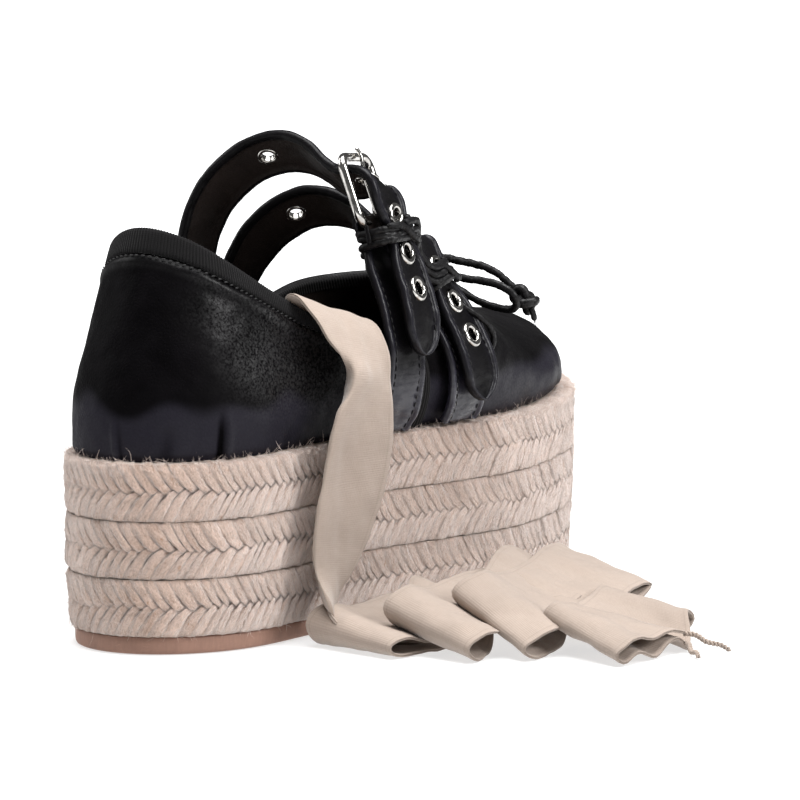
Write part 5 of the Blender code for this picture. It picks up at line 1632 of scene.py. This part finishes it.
class SHOE_OT_stage(bpy.types.Operator):
    """Set the floor, the soft lights and the camera"""
    bl_idname = "shoe.stage"
    bl_label = "Stage"

    def execute(self, context):
        scene = context.scene
        mesh = bpy.data.meshes.new("floor")
        plan = pairs(*[np.linspace(-FLOOR_REACH, FLOOR_REACH, FLOOR_LINES)] * 2).reshape(-1, 2)
        number = np.arange(len(plan)).reshape(FLOOR_LINES, FLOOR_LINES)
        quads = np.stack([number[:-1, :-1], number[1:, :-1], number[1:, 1:], number[:-1, 1:]], axis=-1).reshape(-1, 4)
        mesh.from_pydata([(*spot, FLOOR_HEIGHT) for spot in plan.tolist()], [], quads.tolist())
        floor = bpy.data.objects.new("floor", mesh)
        scene.collection.objects.link(floor)
        pale = Finish("floor_paint", Roughness=0.75, Specular_IOR_Level=0.25)
        speck = pale.noise(pale.place(), 9, 2)
        x, y, _ = pale.parts(pale.place())
        far = (x * x + y * y).between(0.02, 1.2)
        glow = pale.mix(far, *((level,) * 3 for level in FLOOR_GLOW))
        pale.shader.inputs["Emission Strength"].default_value = 1
        mesh.materials.append(pale.set(Base_Color=pale.mix(speck, (0.38,) * 3, (0.42,) * 3), Emission_Color=glow))
        scene.world = bpy.data.worlds.new("studio")
        scene.world.use_nodes = True
        back = scene.world.node_tree.nodes["Background"]
        back.inputs["Color"].default_value = (1, 1, 1, 1)
        back.inputs["Strength"].default_value = SKY
        scene.view_settings.view_transform = "Standard"
        for name, place, aim, size, power in LIGHTS:
            light = bpy.data.lights.new(name, "AREA")
            light.shape, light.size, light.size_y, light.energy = "RECTANGLE", *size, power
            aimed(light, place, aim)
        camera = bpy.data.cameras.new("camera")
        camera.lens, camera.sensor_width, camera.clip_end = CAMERA_LENS, CAMERA_SENSOR, CAMERA_FAR
        scene.camera = aimed(camera, CAMERA_AT, CAMERA_AIM)
        return {"FINISHED"}


class SHOE_OT_bow(bpy.types.Operator):
    """Tie the bow: two loops and two knotted tails of leather lace"""
    bl_idname = "shoe.bow"
    bl_label = "Bow"

    def execute(self, context):
        skin = Skin()
        for k, (shift, tall) in enumerate(((-1.35, 3.7), (1.25, 3.9))):
            t = circle(70)
            ring = np.stack([shift + 0.5 * np.sin(t), 3.1 * np.cos(t) + 0.4, tall * 0.78 * np.sin(t)], axis=1)
            skin.add(lace(KNOT_AT + ring, LACE / 2 * 1.06, 40 + k, (1, 0, 0), closed=True), RING)
        for rows, count, radius, seed in (
                (((-6.4, 0.4, 0.4), (-3, 0, 0), (0, 0.3, 0), (3, 0, 0.2), (6.6, 0.2, 0.6)), 40, 2, 45),
                (((-5.2, 1.6, -1.2), (0, 1, -1.6), (5.4, 1.4, -1.4)), 30, 1.7, 46)):
            skin.add(lace(smooth_line(KNOT_AT + np.array(rows), count), radius, seed), TUBE)
        piece(skin, "bow_knot_tied", ["lace"], "cord", "bow_knot", weld=True)
        for name, rows, seed in (("outer", OUTER_LOOP, 50), ("inner", INNER_LOOP, 54)):
            line = smooth_line(rows, 220)
            piece(Skin().bar(lace(line, seed=seed)), f"bow_lace_loop_{name}", ["lace"], "cord",
                       f"bow_loop_{name}", weld=True)
        for name, rows, seed, share in (("outer", OUTER_TAIL, 60, 0.8), ("inner", INNER_TAIL, 66, 0.87)):
            line = smooth_line(rows, 160)
            at = np.searchsorted(run_of(line), run_of(line)[-1] * share)
            way, middle, line = unit(line[at + 1] - line[at - 1]), line[at], line[:at]
            side = unit(np.cross(way, (0.2, 0.4, 1)))
            up = np.cross(side, way)
            tail = piece(Skin().bar(lace(line, seed=seed)), f"bow_lace_tail_{name}", ["lace"], "cord",
                         f"bow_tail_{name}", weld=True)
            knot = piece(knot_skin(middle, side, way, up, seed), f"bow_knot_{name}", ["lace"], "cord", weld=True)
        return {"FINISHED"}


class SHOE_OT_sole(bpy.types.Operator):
    """Braid the three rope courses, with their loose fibres, over the rubber outsole"""
    bl_idname = "shoe.sole"
    bl_label = "Rope sole"

    def execute(self, context):
        ring = sole_ring()
        piece(outsole(ring), "outsole_rubber", ["rubber"], "rubber", "outsole", weld=True, sharp=50)
        parts = []
        for course in range(COURSES):
            skin, points = rope_course(course, ring)
            piece(skin, f"rope_braid_{course + 1}", ["jute"], "jute", f"rope_course_{course + 1}", weld=True)
            ways = unit(np.gradient(points, axis=0) + 1e-6)
            fields = points, -grid_normals(points, TUBE), ways
            parts.append([field[1:-2].reshape(-1, 3) for field in fields])
        side = [np.concatenate(fields) for fields in zip(*parts)]
        rim = points[-9:-1].reshape(-1, 3)
        up = np.repeat([[0, 0, 1]], len(rim), 0)
        total, fuzz = sizes().loose_fibres, Skin()
        for seed, roots, count, *arcs in ((3, side, total, 1.2, 3.6, 0.9, 0.07, 0.5),
                                          (4, side, total // 22, 5, 9.5, 0.8, 0.06, 1),
                                          (5, (rim, up, 0 * up), total // 3, 1.6, 4.8, 1.2, 0.08, 1)):
            fuzz.add_many(loose_fibres(seed, *roots, count, *arcs), ROLL)
        piece(fuzz, "rope_fibres", ["fibre"], "jute")
        return {"FINISHED"}


class SHOE_OT_upper(bpy.types.Operator):
    """Last the upper: leather shell with its folds, insole, binding and stitches"""
    bl_idname = "shoe.upper"
    bl_label = "Upper"

    def execute(self, context):
        wall = Wall()
        piece(upper_skin(wall), "upper_shell", ["nappa", "lining"], "nappa", "upper")
        piece(binding_skin(wall), "topline_edge", ["grosgrain", "strap"], "grosgrain", "topline_binding")
        piece(rim_stitches(wall), "topline_stitches", ["thread"], "grosgrain")
        piece(seam_tape(wall), "side_seam_tape", ["grosgrain"], "grosgrain", weld=True)
        piece(insole_skin(), "insole_sock", ["lining"], "lining", "insole", weld=True, sharp=60)
        return {"FINISHED"}


def bored(obj, route, lengths, radius):
    """Round holes through a strap, cut for good."""
    for place, side, _, up in zip(*route.frame(np.array(lengths))):
        ring = turned([(0, -4), (radius, -4), (radius, 4), (0, 4)], place, up, side, 28)
        cutter = Skin().add(ring, TUBE, flip=True).make("cutter", [], weld=True)
        cut = obj.modifiers.new("hole", "BOOLEAN")
        cut.operation, cut.solver, cut.object = "DIFFERENCE", "EXACT", cutter
        mesh = bpy.data.meshes.new_from_object(obj.evaluated_get(bpy.context.evaluated_depsgraph_get()))
        obj.modifiers.clear()
        old, obj.data = obj.data, mesh
        bpy.data.meshes.remove(old)
        bpy.data.meshes.remove(cutter.data)


def folded_base(rows, bar, down, across, out):
    """Route of a base strap whose end is folded round the buckle's bar: a half circle and a short way back."""
    turn = np.linspace(0, np.pi, 9)[1:, None]
    more = np.concatenate([[bar - out * FOLD_RADIUS + down * 2],
                           bar - FOLD_RADIUS * (np.cos(turn) * out + np.sin(turn) * down),
                           bar + out * FOLD_RADIUS + down * [[3], [7]] - out * [[0.1], [0.5]]])
    tilt = -np.degrees(np.arcsin(across[2]))
    return Route([*rows[:-1], *[(*point, tilt, 0) for point in more]])


class SHOE_OT_straps(bpy.types.Operator):
    """Cut and buckle the two straps: leather, stitches, eyelets, buckles and wrapped keepers"""
    bl_idname = "shoe.straps"
    bl_label = "Straps and buckles"

    def execute(self, context):
        rings, thread, keepers = Skin(), Skin(), []
        for side, long_rows, short_rows, buckle, seed in (
                ("rear", REAR_STRAP, REAR_BASE, REAR_BUCKLE, 80), ("front", FRONT_STRAP, FRONT_BASE, FRONT_BUCKLE, 90)):
            centre, down, across = buckle_frame(buckle)
            out = outward(across, down)
            tail, base = Route(long_rows), Route(short_rows)
            folded = folded_base(short_rows, centre + down * BUCKLE_HALF_LENGTH, down, across, out)
            slim = lambda s, at=base.length: STRAP_BEAD - 0.55 * smoothstep(at - 6, at - 1, s)
            keepers.append(Keeper(buckle, tail, base))
            pinch = [nearest_crossing(route, keepers[-1].heart, down) for route in (tail, folded)]
            leathers = ["strap", "lining"]
            strap = piece(strap_band(tail, True, seed, pinch[0]), f"strap_{side}_leather", leathers, "nappa",
                          f"strap_{side}", weld=True)
            prong_at = nearest_crossing(tail, centre + out * (BUCKLE_BAR + PRONG_BAR + PRONG_CLEAR - 1), out, 14)
            holes = [tail.length - FIRST_HOLE - HOLE_PITCH * k for k in range(HOLES)]
            holes += [prong_at, tail.length - LAST_HOLE]
            bored(strap, tail, holes, EYELET_HOLE - 0.2)
            piece(strap_band(folded, False, seed + 2, pinch[1], slim, outer=-1), f"strap_base_{side}_leather",
                  leathers, "nappa", f"strap_base_{side}", weld=True)
            for spot, way, _, up in zip(*tail.frame(np.array(holes))):
                rings.add(turned(eyelet_profile(), spot, up, way), RING)
            thread.add_many(strap_stitches(tail, 2, tail.length - 6.5, 1, pinch[0]), TUBE)
            thread.add_many(strap_stitches(base, 2, base.length - 4, -1, pinch[1]), TUBE)
            frame_skin, prong_skin = buckle_skin(buckle)
            piece(frame_skin, f"buckle_{side}_wire", ["nickel"], "nickel", f"buckle_{side}")
            piece(prong_skin, f"prong_{side}_pin", ["nickel"], "nickel", f"prong_{side}", weld=True)
            piece(keeper_skin(keepers[-1], seed + 4), f"keeper_{side}_lace", ["lace"], "cord", f"keeper_{side}",
                  weld=True)
        piece(keeper_ties(*keepers), "keeper_ties", ["lace"], "cord", weld=True)
        piece(rings, "eyelets", ["nickel"], "nickel",
              *[f"eyelet_{side}_{number}" for side in ("rear", "front") for number in (1, 2, 3)])
        piece(thread, "strap_stitches", ["thread"], "nappa")
        return {"FINISHED"}


class SHOE_OT_tie(bpy.types.Operator):
    """Hang the cotton tie over the top line and fold its end up on the floor"""
    bl_idname = "shoe.tie"
    bl_label = "Tie"

    def execute(self, context):
        skin, length, width = tape_skin()
        tape = piece(skin, "tie_tape", ["tape"], "ribbon", "ribbon_tie", "ribbon_pile", weld=True)
        threads = piece(tape_threads(), "tie_threads", ["tape"], "ribbon", weld=True)
        return {"FINISHED"}


class SHOE_PT_panel(bpy.types.Panel):
    bl_idname = "SHOE_PT_panel"
    bl_label = "Platform Espadrille"
    bl_space_type = "VIEW_3D"
    bl_region_type = "UI"
    bl_category = "Shoe"

    def draw(self, context):
        column = self.layout.column()
        for group in (context.scene.shoe_sizes, context.scene.shoe_colours):
            for key in group.__annotations__:
                column.prop(group, key)
        for operator in OPERATORS:
            column.operator(operator.bl_idname)


OPERATORS = (SHOE_OT_stage, SHOE_OT_bow, SHOE_OT_sole, SHOE_OT_upper, SHOE_OT_straps, SHOE_OT_tie)
CLASSES = (ShoeSizes, ShoeColours, *OPERATORS, SHOE_PT_panel)


def register():
    for cls in CLASSES:
        bpy.utils.register_class(cls)
    bpy.types.Scene.shoe_sizes = bpy.props.PointerProperty(type=ShoeSizes)
    bpy.types.Scene.shoe_colours = bpy.props.PointerProperty(type=ShoeColours)


def unregister():
    del bpy.types.Scene.shoe_sizes, bpy.types.Scene.shoe_colours
    for cls in reversed(CLASSES):
        bpy.utils.unregister_class(cls)


def main():
    register()
    for name in ("stage", "bow", "sole", "upper", "straps", "tie"):
        getattr(bpy.ops.shoe, name)()


if __name__ == "__main__":
    main()
